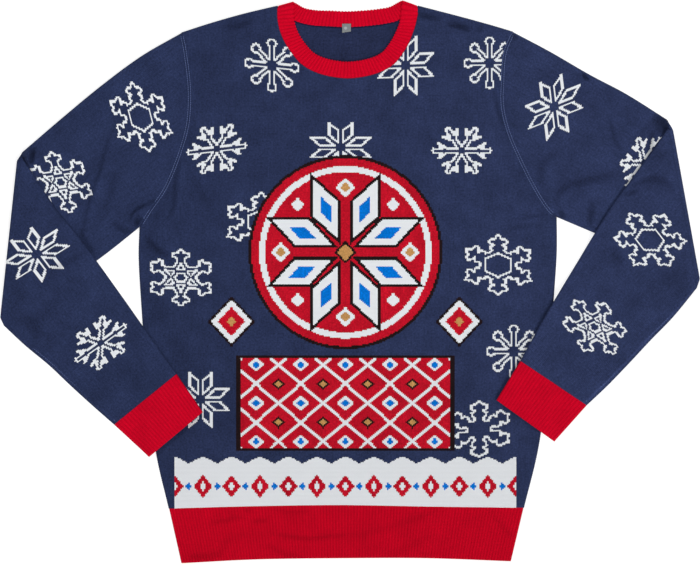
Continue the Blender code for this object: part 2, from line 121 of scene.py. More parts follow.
# The two side edges of the body, from the hem seam up to the underarms.
BODY_SIDES = (
    # left x, left y, right x, right y
    (-235, -295, 225.5, -294),
    (-252, -220, 245, -212),
    (-264, -120, 258, -110),
    (-270, -40, 264, -25),
    (-274, 28, 268, 36),
    (-273, 71, 268, 84),
)

# The hem seam and the lower edge of the hem rib, from left to right.
HEM_LINES = (
    # seam x, seam y, edge x, edge y
    (-235, -295, -219, -366),
    (-127, -292, -119, -361),
    (-13, -290.5, -10, -359.5),
    (107, -292.5, 100, -359.5),
    (225.5, -294, 209, -363.5),
)

# The armhole seams, from the shoulder tip down to the underarm.
ARMHOLES = (
    # left x, left y, right x, right y
    (-219, 323, 212, 324),
    (-214, 297, 201, 295),
    (-209, 256, 198, 256),
    (-209, 222, 198, 228),
    (-213, 194, 205, 197),
    (-225, 156, 219, 163),
    (-240, 121, 239, 123),
    (-259, 93, 256, 96),
    (-273, 71, 268, 84),
)

# The shoulder lines, from the shoulder tip up to the neckband.
SHOULDERS = (
    # left x, left y, right x, right y
    (-219, 323, 212, 324),
    (-182, 335, 182, 333),
    (-140, 347, 140, 344.5),
    (-94, 358, 88, 358),
)

# The neckband's seam round the front of the neck, from the left shoulder to the right, and the
# direction across the band from the seam to its free edge.
FRONT_NECK = (
    # seam x, seam y, direction in degrees from +X
    (-94, 358, 14),
    (-93.5, 339, 4),
    (-88.5, 320, 14),
    (-78, 301, 27),
    (-61, 281.5, 47),
    (-36, 269.5, 67),
    (-3, 264.5, 90),
    (30, 269.5, 113),
    (55, 281.5, 131),
    (71.5, 302, 154),
    (82, 325.5, 174),
    (87, 344, 180),
    (88, 358, 160),
)

# The same round the back of the neck, from the right shoulder to the left.
BACK_NECK = (
    # seam x, seam y, direction in degrees from +X
    (88, 358, 160),
    (77, 348, 138),
    (62, 338.5, 118),
    (43, 334, 107),
    (22, 331.5, 100),
    (-3, 330, 90),
    (-27, 331, 82),
    (-50, 332.5, 72),
    (-70, 337.5, 58),
    (-84, 347, 38),
    (-94, 358, 14),
)

# The two arms. The upper arm runs from the armhole to the elbow fold, and the forearm from there
# to the cuff seam. Their sections go from the upper edge to the under edge, as x, y, x, y. What a
# forearm lies on is given by lines with the support to their left: x, y, x, y, height.
ARMS = {
    "left": {
        "columns": (0, 1),  # of the tables that hold both sides
        "upper": (
            (-219, 323, -273, 71),
            (-271, 293, -317, 36),
            (-322, 255.5, -361, 4.5),
            (-373, 213.5, -406, -26),
            (-426, 168, -449.5, -55),
        ),
        "forearm": (
            (-426, 162, -449.5, -57),
            (-386, 101, -421, -84),
            (-348, 52.5, -391, -109),
            (-308, -3, -363.5, -135),
            (-266, -62, -335, -161),
            (-225, -120, -306.5, -186),
        ),
        "cuff_end": (-191, -169.5, -261, -228),
        "supports": (
            (-449.5, -50, -273, 71, FOREARM_ON_SLEEVE),
            (-270, -40, -251, -220, FOREARM_ON_BODY),
        ),
        "knit_way": 36.4,  # direction of the knit's columns, in degrees
        "rubbed": 0.12,  # painted highlight: how much paler the underarm seam's ridge is
        "pale": 0.065,  # and how much the upper arm and the forearm's inner edge are
    },
    "right": {
        "columns": (2, 3),
        "upper": (
            (212, 324, 268, 84),
            (261, 298, 313, 65),
            (311, 269, 359, 46),
            (360, 243, 403, 26),
            (412.5, 210, 450, -4),
        ),
        "forearm": (
            (412.5, 198, 450.5, -8),
            (372, 142, 420, -46),
            (334, 89, 391, -76),
            (296.5, 27, 363, -106),
            (259, -35, 334.5, -135.5),
            (221, -103, 307.5, -161),
        ),
        "cuff_end": (190, -154, 265.5, -208),
        "supports": (
            (268, 84, 448, 10, FOREARM_ON_SLEEVE),
            (246, -212, 264, -25, FOREARM_ON_BODY),
        ),
        "knit_way": 152.1,
        "rubbed": 0.5,
        "pale": 0.015,
    },
}

# Soft creases, given one by one. A trough has a height below 0 and a ridge one above it. Each row:
# half width, height, then x and y of the points along it.
CREASES = {
    "body": (
        (3.3, -4.2, -220.5, 165, -227, 132, -229.6, 100, -236.5, 84, -244, 81),
        (3.5, -2.8, -252.5, 93, -252.2, 76),
        (4.2, -6.4, -266.5, 59, -255.1, 46, -247, 39.3, -235.5, 33.5),
        (4.5, -2.6, -213, 151.5, -200, 128.7, -178.8, 89.7),
        (9, -2.6, -259, -39, -236, -51),
        (3.5, -3.0, 203, 69.5, 230, 73, 254, 75.5),
        (3, -2.6, 205, 80, 230, 84, 256, 87),
        (3.4, -4.2, 187.5, 247, 192, 223, 202.5, 192),
        (5, -2.4, 214.5, 126.8, 225, 148, 226, 162),
        (4.4, -6.6, 126, 336, 138, 333, 150, 329.5, 158, 326.5),
        (4, -4.6, 163, 323.5, 167.4, 328, 171, 332.5),
        (4.4, -5.6, 86, 347, 98, 345, 118, 341),
        (4, -3.8, -162, 334, -142, 333.5, -125, 343.5),
        (5, -2.2, -129, 340, -134.5, 316),
        (12, 1.6, -145.6, 334.8, -130, 308.8),
        (14, 1.6, -236.6, -148.8, -200.2, -128.1),
        (14, 1.6, 234, -190.5, 201.5, -167.1),
        (14, -1.5, -226.2, -63.1, -213.2, -117.7),
        (14, -1.3, 221, -50.1, 210.6, -104.7),
        (14, 1.3, -88.4, -284.1, -65, -245.1),
        (15, 1.3, 59.8, -284.1, 91, -239.8),
        (13, 1.3, 153.4, -284.1, 169, -239.8),
        (13, 1.4, -179.4, -286.7, -161.2, -245.1),
    ),
    "hem": (
        (3.2, -2.4, -182, -312.7, -160.9, -310.1, -146.3, -306.2, -134.9, -308.4),
        (3.0, -2.8, -129.5, -313, -118.6, -310.7, -106, -309),
        (3.0, -2.2, -138, -297.7, -127, -295.5),
        (3.0, -1.7, -100, -295.5, -87.8, -298.2, -71.5, -299.3, -50, -297.7),
        (3.2, -3.0, -107, -325.5, -81.3, -330.5, -55.3, -333.5, -32.5, -331.5, -4, -329),
        (5, -1.3, -20, -331, 19.5, -327, 45.5, -319.8, 71.5, -312.7, 97.5, -302.9),
        (4, -1.5, 71.5, -312.7, 97.5, -302.9, 114, -296),
        (5, -3.0, -219, -359, -198.3, -357.3, -182, -356.5, -163, -350),
        (6, -1.4, -169, -351, -162.5, -339.3, -143, -329.6, -127.4, -325.7),
        (4, -2.0, -110, -342, -91, -350.7, -76, -355, -62, -357),
        (6, -1.5, 52, -357, 71.5, -345.8, 91, -336.7, 106, -330),
        (4.5, -1.7, 181, -298, 191.8, -311.4, 203, -323, 213, -332),
        (7, 1.0, 52, -344, 83, -325, 113, -304),
        (8, 0.9, -125, -318, -60, -316, -20, -312),
    ),
    "left_upper": (
        (2.6, -4.8, -246, 109.5, -263.3, 101.2, -279.5, 93, -285.5, 83.2, -283, 75),
        (4.2, -6.5, -270.4, 84.5, -275.9, 79, -278.9, 71),
        (3.3, -4.8, -308.5, 78, -299, 69, -285, 64.5),
        (6.3, -3.3, -297.5, 155, -307.1, 132, -315.3, 106, -324.5, 81),
        (3, -4.4, -306, 205, -318.5, 171, -326.6, 141.7, -334.8, 119, -342.9, 89.7, -351, 54),
        (4.5, -5.5, -352.5, 66, -344, 51, -333, 35),
        (6, 1.6, -302.9, 99.5, -295.1, 78.7),
        (3.2, 1.8, -265.2, 95.5, -274.3, 90.4),
        (5.5, -12, -430.9, 166, -423.8, 150.2, -414, 136),
        (3.4, -7.5, -410.8, 174.8, -412.4, 163.2, -414.1, 150.2),
        (2.8, 2.9, -417.9, 171, -417.9, 146.2),
        (10, 1.4, -397.8, 158, -364, 171),
        (12, 1.4, -234, 223, -249.6, 171),
    ),
    "left_lower": (
        (4.2, -3.2, -341, 40, -365, 27, -392, 14),
        (8, -2.5, -444.6, -8.5, -418.6, -20.2),
        (8, -4.6, -425, -44, -411, -58, -404, -76),
        (10, 1.6, -403, -11.1, -380.9, -29.2),
        (10, -2.4, -412.1, 99.5, -412.1, 84),
        (8, 1.4, -383.5, 96.9, -374.4, 80),
        (8, -1.9, -301.6, -99.5, -273, -141.1),
        (12, 1.6, -335.4, 7.2, -351, -63.1),
        (11, 1.4, -291.2, -63.1, -319.8, -117.7),
    ),
    "right_upper": (
        (5, -4.6, 269.6, 90, 269.8, 110.8, 281.1, 123.8, 302.3, 131.3, 328.3, 135.9, 356, 141),
        (4, -4.8, 314, 108, 313.7, 97, 310, 70),
        (3.4, -5, 271, 93, 274.6, 88, 278, 82),
        (3.6, -3.6, 335, 219, 338, 206, 342.9, 187.2, 352, 170),
        (4.5, -6, 391.9, 197, 390.7, 182.7, 387.4, 167),
        (12.5, -8.5, 392, 216, 405, 207, 416, 192),
        (3.2, -7.5, 302, 272, 305, 266, 309, 260),
        (8, -2.4, 328, 252, 336, 244, 341, 233),
        (3.2, -6, 208, 320.5, 213, 318, 218, 314.5),
        (9, 1.2, 377, 223, 388, 215),
        (6, 2, 295.1, 111.2, 301.6, 100.8),
        (7, 1.6, 325, 111.2, 340.6, 126.8),
        (4.8, -3.6, 246, 122, 247, 139, 252, 155, 272, 169),
        (11, 1.6, 241.8, 210, 254.8, 171),
    ),
    "right_lower": (
        (2.8, -4.4, 355, 114, 362.7, 114.7, 377, 119.5),
        (4.6, -4.2, 362, 123, 377, 129.5, 393.3, 133.6, 408, 129, 423, 115),
        (5, -2.7, 384.8, 158, 401.3, 164.5, 418, 168),
        (6, 1.8, 390, 146.2, 408.2, 147.6),
        (6, -3.4, 339, 46, 344.5, 34, 354, 22),
        (14, -3.4, 398, 3, 428, 1, 426, -26),
        (8, 1.6, 312, 15, 330.2, 7.2),
        (9, 1.6, 423.8, 111.2, 434.2, 80),
        (10, -1.7, 377, -13.7, 361.4, -50.1),
        (11, 1.4, 286, -29.2, 317.2, -96.9),
    ),
}

# Snowflakes of the colourwork. A kind's strokes are drawn for half an arm and repeated all round.
FLAKE_KINDS = (
    # number, arms, direction of the first arm in degrees, height against width
    (1, 8, 0, 0.95),
    (2, 4, 0, 1.0),
    (3, 6, 0, 0.885),
    (4, 6, 90, 0.76),
    (5, 6, 90, 0.81),
    (6, 6, 90, 0.82),
)
FLAKE_STROKES = (
    # number, then points along and across the arm, with the half width of the stroke between them
    (1, 8.2, 3.4, 1.3, 8.6, 2.75, 1.4, 25.2, 2.75, 1.4, 26.6, 4.9, 1.4, 30, 5.8, 1.4, 33.8, 4.2),
    (1, 33.8, 4.2, 1.4, 35.4, 0),
    (2, 7.2, 2.8, 1.5, 25.2, 2.8, 1.5, 36.2, 14.4, 1.5, 19, 14.4, 1.5, 7.2, 2.8),
    (3, 5.2, 2.85, 1.4, 19, 2.85, 1.4, 21.6, 4.8, 1.6, 28.6, 10.8),
    (3, 25.2, 5.2, 1.9, 29.6, 10.6),
    (3, 25.8, 3.4, 1.6, 29.4, 5.4),
    (3, 25, 2.85, 1.4, 36.4, 2.8, 1.6, 37.9, 0),
    (4, 19.9, 0, 1.6, 14.9, 8.6),
    (4, 50.2, 0, 1.6, 46.6, 3.2, 1.5, 43.2, 4.6, 1.6, 42.4, 10.6, 1.6, 38.9, 12.8),
    (4, 38.9, 12.8, 1.6, 35.4, 10.4, 1.6, 33, 4.8, 1.6, 30.4, 9.8, 1.6, 26.6, 10.4),
    (4, 26.6, 10.4, 1.5, 24.2, 8.3, 1.6, 20.6, 11.9),
    (5, 6.9, 0, 1.4, 6.9, 4),
    (5, 23.6, 0, 1.3, 12.2, 4.7, 1.3, 12.2, 0),
    (5, 45, 0, 1.6, 43, 3, 1.5, 39.4, 4.4, 1.5, 38.4, 10.2, 1.5, 34.6, 11.2, 1.5, 30, 4.4),
    (5, 30, 4.4, 1.5, 25, 5.2, 1.5, 16.4, 9.4),
    (6, 44.4, 0, 1.6, 40.8, 3.2, 1.6, 38, 9.8, 1.6, 33, 10.4, 1.6, 29.4, 5, 1.5, 26.4, 9.6),
    (6, 26.4, 9.6, 1.5, 21.6, 9, 1.5, 16.6, 5.2, 1.5, 12.6, 7.2),
)
FLAKE_REACH = 56.0  # half the side of the square that a snowflake may fill
FLAKE_PLACES = (
    # part, kind, centre x, centre y, turn, slope of its rows, width scale, height scale
    ("body", 1, -101.5, 280.8, 0, -6, 0.98, 1.0),
    ("body", 2, 72.3, 280.4, 0, 2, 0.97, 1.02),
    ("body", 1, 181.4, 284.1, 0, 1, 0.93, 0.98),
    ("body", 3, -173.0, 171.9, 0, 6.6, 1.0, 1.0),
    ("body", 2, -12.2, 174.1, 0, 0, 1.06, 0.87),
    ("body", 3, 145.1, 169.8, 0, 0, 1.0, 1.0),
    ("body", 4, -115.2, 77.4, 0, 0, 1.0, 1.0),
    ("body", 4, 192.4, 21.3, 0, -1, 0.975, 1.03),
    ("body", 5, -219.7, 5.1, 0, -1, 1.0, 1.0),
    ("body", 1, 212.7, -90.7, 0, 0, 0.98, 1.0),
    ("body", 2, -194.2, -153.5, 0, 0, 1.0, 0.96),
    ("body", 6, 167.7, -192.1, 0, 3, 1.0, 1.0),
    ("left_upper", 4, -271.9, 213.3, 14.4, -9.9, 0.78, 1.22),
    ("left_upper", 5, -375.7, 128.8, 17.8, -9.2, 0.87, 1.13),
    ("left_lower", 2, -406.4, 35.2, 37.5, -5.4, 1.08, 0.9),
    ("left_lower", 3, -323.7, -80.0, 31.4, 4.1, 1.04, 0.91),
    ("right_upper", 2, 265.2, 226.6, 7.0, 14.3, 0.985, 1.01),
    ("right_upper", 3, 381.7, 154.1, 49.5, 5.3, 1.01, 0.84),
    ("right_lower", 4, 389.2, 54.0, 37.6, -12.6, 0.82, 1.13),
    ("right_lower", 5, 317.7, -59.2, 36.9, -11.7, 0.77, 1.19),
)

# The picture on the front: a roundel with an eight-petalled star, a band of lozenges under it and
# a white foot band. It is mirrored about one upright line, and each row is laid over the last.
PICTURE_X = -6.0
ROUNDEL_Y = 38.0
BAND_Y = -158.0
FOOT_Y = -265.0
DIAMOND_Y = -52.0
REPEATS = {
    # fold: half its repeat across and up, half width and half height of the field that it fills
    "lattice": (29.0, 25.0, 137, 58),
    "foot": (18.5, None, 222, 37),
}
PETAL = (
    # direction across two of its sides, distance of its middle, half width
    ((0.0, 1.0, 0.0), 0.265, 0.177),
    ((0.736, -0.677, 0.0), 0.247, 0.192),
)
PICTURE = (
    # fold, centre y, shape, x, y, half width, half height, lowest and highest measure, colour
    ("mirror", FOOT_Y, "box", 0, -4, 222, 32, 0, 1, "white"),
    ("foot", FOOT_Y, "diamond", 0, 28, 20, 10, 0, 1, "white"),
    ("foot", FOOT_Y, "diamond", 0, -1, 12, 15, 0, 1, "red"),
    ("foot", FOOT_Y, "diamond", 0, -1, 4.5, 6, 0, 1, "white"),
    ("foot", FOOT_Y, "diamond", 18.5, -1, 4.5, 5.5, 0, 1, "blue"),
    ("mirror", BAND_Y, "box", 0, 0, 141, 62, 0, 1, "black"),
    ("mirror", BAND_Y, "box", 0, 0, 137, 58, 0, 1, "red"),
    ("lattice", BAND_Y, "diamond", 0, 0, 29, 25, 0.9, 1.1, "white"),
    ("lattice", BAND_Y, "diamond", 0, 0, 11, 9.5, 0, 1, "white"),
    ("lattice", BAND_Y, "diamond", 0, 0, 5.5, 4.8, 0, 1, "blue"),
    ("lattice", BAND_Y, "diamond", 29, 25, 9, 8, 0, 1, "black"),
    ("lattice", BAND_Y, "diamond", 29, 25, 4.4, 4, 0, 1, "tan"),
    ("octant", ROUNDEL_Y, "disc", 0, 0, 126, 126, 0, 1, "black"),
    ("octant", ROUNDEL_Y, "disc", 0, 0, 122, 122, 0, 1, "red"),
    ("octant", ROUNDEL_Y, "disc", 0, 0, 112, 112, 0.93, 1, "white"),
    ("octant", ROUNDEL_Y, "petal", 0, 0, 97, 97, 0, 1.14, "black"),
    ("octant", ROUNDEL_Y, "petal", 0, 0, 97, 97, 0, 0.94, "white"),
    ("octant", ROUNDEL_Y, "petal", 0, 0, 97, 97, 0, 0.42, "blue"),
    ("octant", ROUNDEL_Y, "diamond", 0, 0, 15, 15, 0, 1, "black"),
    ("octant", ROUNDEL_Y, "diamond", 0, 0, 11, 11, 0, 1, "tan"),
    ("octant", ROUNDEL_Y, "diamond", 84, 0, 13, 13, 0, 1, "white"),
    ("octant", ROUNDEL_Y, "diamond", 84, 0, 7, 7, 0, 1, "tan"),
    ("octant", ROUNDEL_Y, "diamond", 62, 62, 9, 9, 0, 1, "white"),
    ("mirror", DIAMOND_Y, "diamond", 148, 0, 31, 33, 0, 1, "black"),
    ("mirror", DIAMOND_Y, "diamond", 148, 0, 26.5, 28.5, 0, 1, "white"),
    ("mirror", DIAMOND_Y, "diamond", 148, 0, 18, 19, 0, 1, "red"),
    ("mirror", DIAMOND_Y, "diamond", 148, 0, 6, 7, 0, 1, "tan"),
)

# Grids
SIDE_ROWS = 110
SIDE_FADE = 6
SHOULDER_COLUMNS = 50
FRONT_NECK_COLUMNS = 90
BACK_NECK_COLUMNS = 60
SLEEVE_SHARES = np.linspace(0, 1, 111)
ARMHOLE_FADE = 0.71
TURN_STEPS = 10
FOLD_STEPS = 14
CURVE_STEPS = 24
RIB_COLUMNS = 8  # points across one rib
RIB_ROWS = 14
HEM_ROWS = 29


def even_to_ends(count):
    """Shares from 0 to 1 that crowd at both ends: t less 0.75 sin(2 pi t) / (2 pi)."""
    t = np.linspace(0, 1, count)
    return t - 0.75 * np.sin(2 * np.pi * t) / (2 * np.pi)


ACROSS = even_to_ends(97)


def run_length(points):
    """Length of a run of points up to each of them."""
    return np.append(0, np.cumsum(np.linalg.norm(np.diff(points, axis=0), axis=1)))


def length_shares(points):
    """Share of the length of a run of points that lies before each of them."""
    length = run_length(points[:, :2])
    return length / length[-1]


def read_at(points, places, wanted):
    """A run of points read at the wanted places between its own places."""
    return np.column_stack([np.interp(wanted, places, column) for column in points.T])


def smooth_curve(table, shares, *columns):
    """Points at shares of the length of a Catmull-Rom curve through the columns of a table."""
    points = np.array(table, float)
    points = points[:, list(columns)] if columns else points
    ends = np.vstack([2 * points[0] - points[1], points, 2 * points[-1] - points[-2]])
    before, here, there, after = ends[:-3], ends[1:-2], ends[2:-1], ends[3:]
    t = np.linspace(0, 1, CURVE_STEPS, endpoint=False)[:, None, None]
    run = 0.5 * (
        2 * here
        + (there - before) * t
        + (2 * before - 5 * here + 4 * there - after) * t**2
        + (3 * here - before - 3 * there + after) * t**3
    )
    run = np.vstack([run.transpose(1, 0, 2).reshape(-1, points.shape[1]), points[-1:]])
    return read_at(run, length_shares(run), shares)


def smoothstep(value):
    """0 up to a value of 0, 1 from a value of 1, and a soft step between."""
    value = np.clip(value, 0, 1)
    return value * value * (3 - 2 * value)


def rounded(distance, radius):
    """Quarter ellipse: 0 at an edge, rising to 1 one radius in from it."""
    inside = 1 - np.clip(distance / radius, 0, 1)
    return np.sqrt(1 - inside**2)


def unit(vectors):
    """The vectors, each one long."""
    return vectors / np.linalg.norm(vectors, axis=-1, keepdims=True)


def sideways(way):
    """The plan directions at right angles to the left of some ways."""
    return np.column_stack([-way[:, 1], way[:, 0]])


def creases(plan, part):
    """Height of the soft creases and how dark they are; both fade out at the ends.

    At a distance d from one of half width w, a ridge is exp(-(d / w)^2), and a trough is that less
    0.85 exp(-(d / 2.6 w)^2), so that it lies between two low banks. The fade is sin(pi t)^0.5. A
    trough is darker by CREASE_SHADE times its depth, as painted shade.
    """
    height, shade = np.zeros(plan.shape[:-1]), np.zeros(plan.shape[:-1])
    t = np.linspace(0, 1, 48)
    fade = np.sqrt(np.sin(np.pi * t).clip(0))
    for half_width, rise, *points in CREASES[part]:
        line = smooth_curve(np.reshape(points, (-1, 2)), t)
        away = np.linalg.norm(plan[..., None, :] - line, axis=-1)
        nearest = away.min(axis=-1) / half_width
        ends = fade[away.argmin(axis=-1)]
        form = np.exp(-(nearest**2)) * ends
        if rise < 0:
            # Painted shade in the trough
            shade -= CREASE_SHADE * rise * form
            form -= 0.85 * np.exp(-((nearest / 2.6) ** 2)) * ends
        height += rise * form
    return height, shade


def swell(plan, size):
    """Low uneven waves: three crossing sines, of the given height in all."""
    x, y = plan[..., 0], plan[..., 1]
    waves = np.sin(x / 37 + y / 90) + np.sin(y / 49 - x / 71 + 1.1) + np.sin((x + y) / 23 + 2)
    return size * (waves + 3) / 6


def body_plan(neck_table, neck_columns):
    """Grid of plan points that fills a panel with the given neck seam, with rows going up.

    Straight lines run from the hem seam to the shoulders and neck. How far the two sides bow from
    such a line is then added to each row, and fades fast towards the middle.
    """
    sides = []
    for pair in ((0, 1), (2, 3)):
        side = smooth_curve(BODY_SIDES, np.linspace(0, 1, SIDE_ROWS + 1), *pair)
        sides.append(np.vstack([side, smooth_curve(ARMHOLES, ACROSS, *pair)[-2::-1]]))
    west, east = sides
    shoulder_shares = np.linspace(0, 1, SHOULDER_COLUMNS + 1) ** 1.4
    left = smooth_curve(SHOULDERS, shoulder_shares, 0, 1)
    right = smooth_curve(SHOULDERS, shoulder_shares, 2, 3)[-2::-1]
    neck = smooth_curve(neck_table, np.linspace(0, 1, neck_columns + 1), 0, 1)
    north = np.vstack([left, neck[1:], right])
    south = smooth_curve(HEM_LINES, length_shares(north), 0, 1)
    u = length_shares(north)[None, :, None]
    v = ((length_shares(west) + length_shares(east)) / 2)[:, None, None]
    ruled = (1 - v) * south[None] + v * north[None]
    west_bow = west[:, None] - ruled[:, :1]
    east_bow = east[:, None] - ruled[:, -1:]
    return ruled + (1 - u) ** SIDE_FADE * west_bow + u**SIDE_FADE * east_bow


def edge_distance(plan):
    """Distance of each grid point in from the four edges: hem, top, left and right."""
    along = np.linalg.norm(np.diff(plan, axis=0), axis=2)
    across = np.linalg.norm(np.diff(plan, axis=1), axis=2)
    up = np.vstack([np.zeros(plan.shape[1]), np.cumsum(along, axis=0)])
    right = np.hstack([np.zeros((plan.shape[0], 1)), np.cumsum(across, axis=1)])
    return up, up[-1] - up, right, right[:, -1:] - right


def quads(a, b, c, d):
    """Four grids of corners as rows of four-sided faces."""
    return np.stack([a, b, c, d], axis=-1).reshape(-1, 4)


def grid_faces(index):
    """Faces between the rows and columns of a grid of numbers."""
    return quads(index[:-1, :-1], index[:-1, 1:], index[1:, 1:], index[1:, :-1])


def wall_faces(over, under, closed):
    """Faces of a wall between two grids of numbers: outer, inner, then the strips between."""
    faces = [
        grid_faces(over),
        grid_faces(under)[:, [0, 3, 2, 1]],
        quads(over[0, 1:], over[0, :-1], under[0, :-1], under[0, 1:]),
        quads(over[-1, :-1], over[-1, 1:], under[-1, 1:], under[-1, :-1]),
    ]
    if not closed:
        faces.append(quads(over[:-1, 0], over[1:, 0], under[1:, 0], under[:-1, 0]))
        faces.append(quads(over[1:, -1], over[:-1, -1], under[:-1, -1], under[1:, -1]))
    return faces


def inside_out(points, faces):
    """True where the volume that the faces enclose comes out below 0."""
    a, b, c, d = (points[faces[:, k]] for k in range(4))
    return np.sum(np.cross(a, b) * c) + np.sum(np.cross(a, c) * d) < 0


def mesh_piece(name, points, faces, materials):
    """A smooth piece of the given points, faces and materials."""
    mesh = bpy.data.meshes.new(name)
    mesh.from_pydata(points.tolist(), [], faces.tolist())
    for material in materials:
        mesh.materials.append(material)
    mesh.shade_smooth()
    piece = bpy.data.objects.new(name, mesh)
    bpy.context.scene.collection.objects.link(piece)
    return piece


def knit_wall(name, outer, inner, cloth, materials, closed=False, shade=None):
    """One closed wall between two grids of points, with the cloth's own millimetres as UV.

    materials are those of the outer face and of the inner one. With closed set, the columns run
    round a ring, and the cloth grid has one column more than the points. shade is how much darker
    the knit is at each outer point, mostly painted shade in its creases.
    """
    rows, columns = outer.shape[:2]
    points = np.concatenate([outer.reshape(-1, 3), inner.reshape(-1, 3)]) * MM
    index = np.arange(rows * columns).reshape(rows, columns)
    if closed:
        index = np.hstack([index, index[:, :1]])
    places = np.arange(cloth.shape[0] * cloth.shape[1]).reshape(cloth.shape[:2])
    parts = wall_faces(index, index + rows * columns, closed)
    corners = np.concatenate(parts)
    charts = np.concatenate(wall_faces(places, places, closed))
    if inside_out(points, corners):
        corners, charts = corners[:, ::-1], charts[:, ::-1]
    piece = mesh_piece(name, points, corners, materials)
    mesh = piece.data
    mesh.uv_layers.new(name="cloth").data.foreach_set("uv", cloth.reshape(-1, 2)[charts].ravel())
    slots = np.zeros(len(corners), np.int32)
    slots[len(parts[0]) : len(parts[0]) + len(parts[1])] = len(materials) - 1
    mesh.polygons.foreach_set("material_index", slots)
    mesh.attributes.new("flake", "FLOAT_VECTOR", "CORNER")
    if shade is not None:
        shades = mesh.attributes.new("shade", "FLOAT", "POINT")
        shades.data.foreach_set("value", np.append(shade.ravel(), np.zeros(rows * columns)))
    mesh.set_sharp_from_angle(angle=np.radians(50))
    return piece


def flat_wall(name, plan, low, high, materials, cloth=None, shade=None):
    """A knit wall over a plan grid, between two heights."""
    level = np.zeros(plan.shape[:2])
    outer, inner = np.dstack([plan, high + level]), np.dstack([plan, low + level])
    cloth = plan if cloth is None else cloth
    return knit_wall(name, outer, inner, cloth, materials, shade=shade)


def read_all(items, name, kind, size):
    """A value of all the items of a mesh, as rows of the given size."""
    values = np.empty(len(items) * size, kind)
    items.foreach_get(name, values)
    return values.reshape(-1, size)


def place_flakes(piece, part, faces):
    """Gives the faces near each snowflake their millimetres from its centre, and its kind.

    A corner gets (P - centre) turned back by the snowflake's turn, with its rows' slope taken out
    and divided by its scales. A face between two snowflakes belongs to the nearer one.
    """
    mesh = piece.data
    points = read_all(mesh.vertices, "co", np.float64, 3)
    corner = read_all(mesh.loops, "vertex_index", np.int32, 1)[:, 0]
    plan = points[corner, :2].reshape(-1, 4, 2) / MM
    attribute = mesh.attributes["flake"]
    flake = read_all(attribute.data, "vector", np.float64, 3).reshape(-1, 4, 3)
    usable = np.zeros(len(plan), bool)
    usable[faces] = True
    usable &= read_all(mesh.polygons, "normal", np.float64, 3)[:, 2] > 0.05
    nearest = np.full(len(plan), FLAKE_REACH)
    for where, kind, x, y, turn, slope, width, height in FLAKE_PLACES:
        if where != part:
            continue
        cosine, sine = np.cos(np.radians(turn)), np.sin(np.radians(turn))
        offset = plan - (x, y)
        across = cosine * offset[..., 0] + sine * offset[..., 1]
        up = cosine * offset[..., 1] - sine * offset[..., 0]
        up = (up - np.tan(np.radians(slope)) * across) / height
        across = across / width
        away = np.maximum(np.abs(across.mean(axis=1)), np.abs(up.mean(axis=1)))
        mine = usable & (away < nearest)
        flake[mine] = np.dstack([across, up, np.full(up.shape, kind + 0.5)])[mine]
        nearest[mine] = away[mine]
    attribute.data.foreach_set("vector", flake.ravel())


# The setting of each kind of node that is given first, and the float sockets of a colour mix
MODES = {
    "Math": "operation",
    "VectorMath": "operation",
    "Mix": "data_type",
    "MapRange": "interpolation_type",
    "TexWave": "bands_direction",
    "Attribute": "attribute_name",
    "UVMap": "uv_map",
}
UNUSED = (None,) * 5


def add_node(tree, kind, *values, out=0, **sockets):
    """Adds a node with its mode and its sockets' values or links, and gives one output or all."""
    node = tree.nodes.new("ShaderNode" + kind)
    if kind in MODES:
        setattr(node, MODES[kind], values[0])
        values = values[1:]
    named = [(name.replace("_", " "), value) for name, value in sockets.items()]
    for name, value in (*enumerate(values), *named):
        if isinstance(value, bpy.types.NodeSocket):
            tree.links.new(value, node.inputs[name])
        elif value is not None:
            node.inputs[name].default_value = value
    return tuple(node.outputs) if out == "all" else node.outputs[out]


def linear(code):
    """An sRGB hex colour as linear values."""
    shares = np.array([int(code[k : k + 2], 16) for k in (1, 3, 5)]) / 255
    values = np.where(shares <= 0.04045, shares / 12.92, ((shares + 0.055) / 1.055) ** 2.4)
    return tuple(values.tolist())


def opaque(colour):
    """A colour with its alpha."""
    return *colour, 1.0


def new_material(name, roughness):
    """A material, the function that adds its nodes, and its shader with its fixed values."""
    material = bpy.data.materials.new(name)
    material.use_nodes = True
    shader = material.node_tree.nodes["Principled BSDF"]
    shader.inputs["Roughness"].default_value = roughness
    shader.inputs["Specular IOR Level"].default_value = 0.06
    shader.inputs["IOR"].default_value = 1.53
    return material, partial(add_node, material.node_tree), shader


def link(shader, name, socket):
    """Links an output to the shader's named input."""
    shader.id_data.links.new(socket, shader.inputs[name])


def nearest_stroke(add, place, kind):
    """How far a place lies outside the nearest stroke of a kind; below 0 it lies on one.

    For a stroke from A by the way W: the length of (P - A) - W clamp((P - A).W / W.W, 0, 1), less
    its half width.
    """
    nearest = None
    for number, *chain in FLAKE_STROKES:
        rows = np.append(chain, 0).reshape(-1, 3) if number == kind else ()
        for (x, y, half_width), (end_x, end_y, _) in zip(rows[:-1], rows[1:]):
            way = np.array([end_x - x, end_y - y, 0.0])
            offset = add("VectorMath", "SUBTRACT", place, (x, y, 0.0))
            share = add("VectorMath", "DOT_PRODUCT", offset, way / (way @ way), out="Value")
            passed = add("VectorMath", "SCALE", way, Scale=add("Clamp", share))
            rest = add("VectorMath", "SUBTRACT", offset, passed)
            away = add("VectorMath", "LENGTH", rest, out="Value")
            away = add("Math", "SUBTRACT", away, half_width)
            nearest = away if nearest is None else add("Math", "MINIMUM", nearest, away)
    return nearest


STITCH_SLANT = 0.9  # how many rows a leg of a stitch's V rises


def stitch_axes(add, place, stitch, depth):
    """A place in stitches: its three axes, and the share of its stitch from edge to middle."""
    width, height = stitch
    scaled = add("VectorMath", "MULTIPLY", place, (1 / width, 1 / height, depth))
    x, y, z = add("SeparateXYZ", scaled, out="all")
    return x, y, z, add("Math", "PINGPONG", x, 0.5)


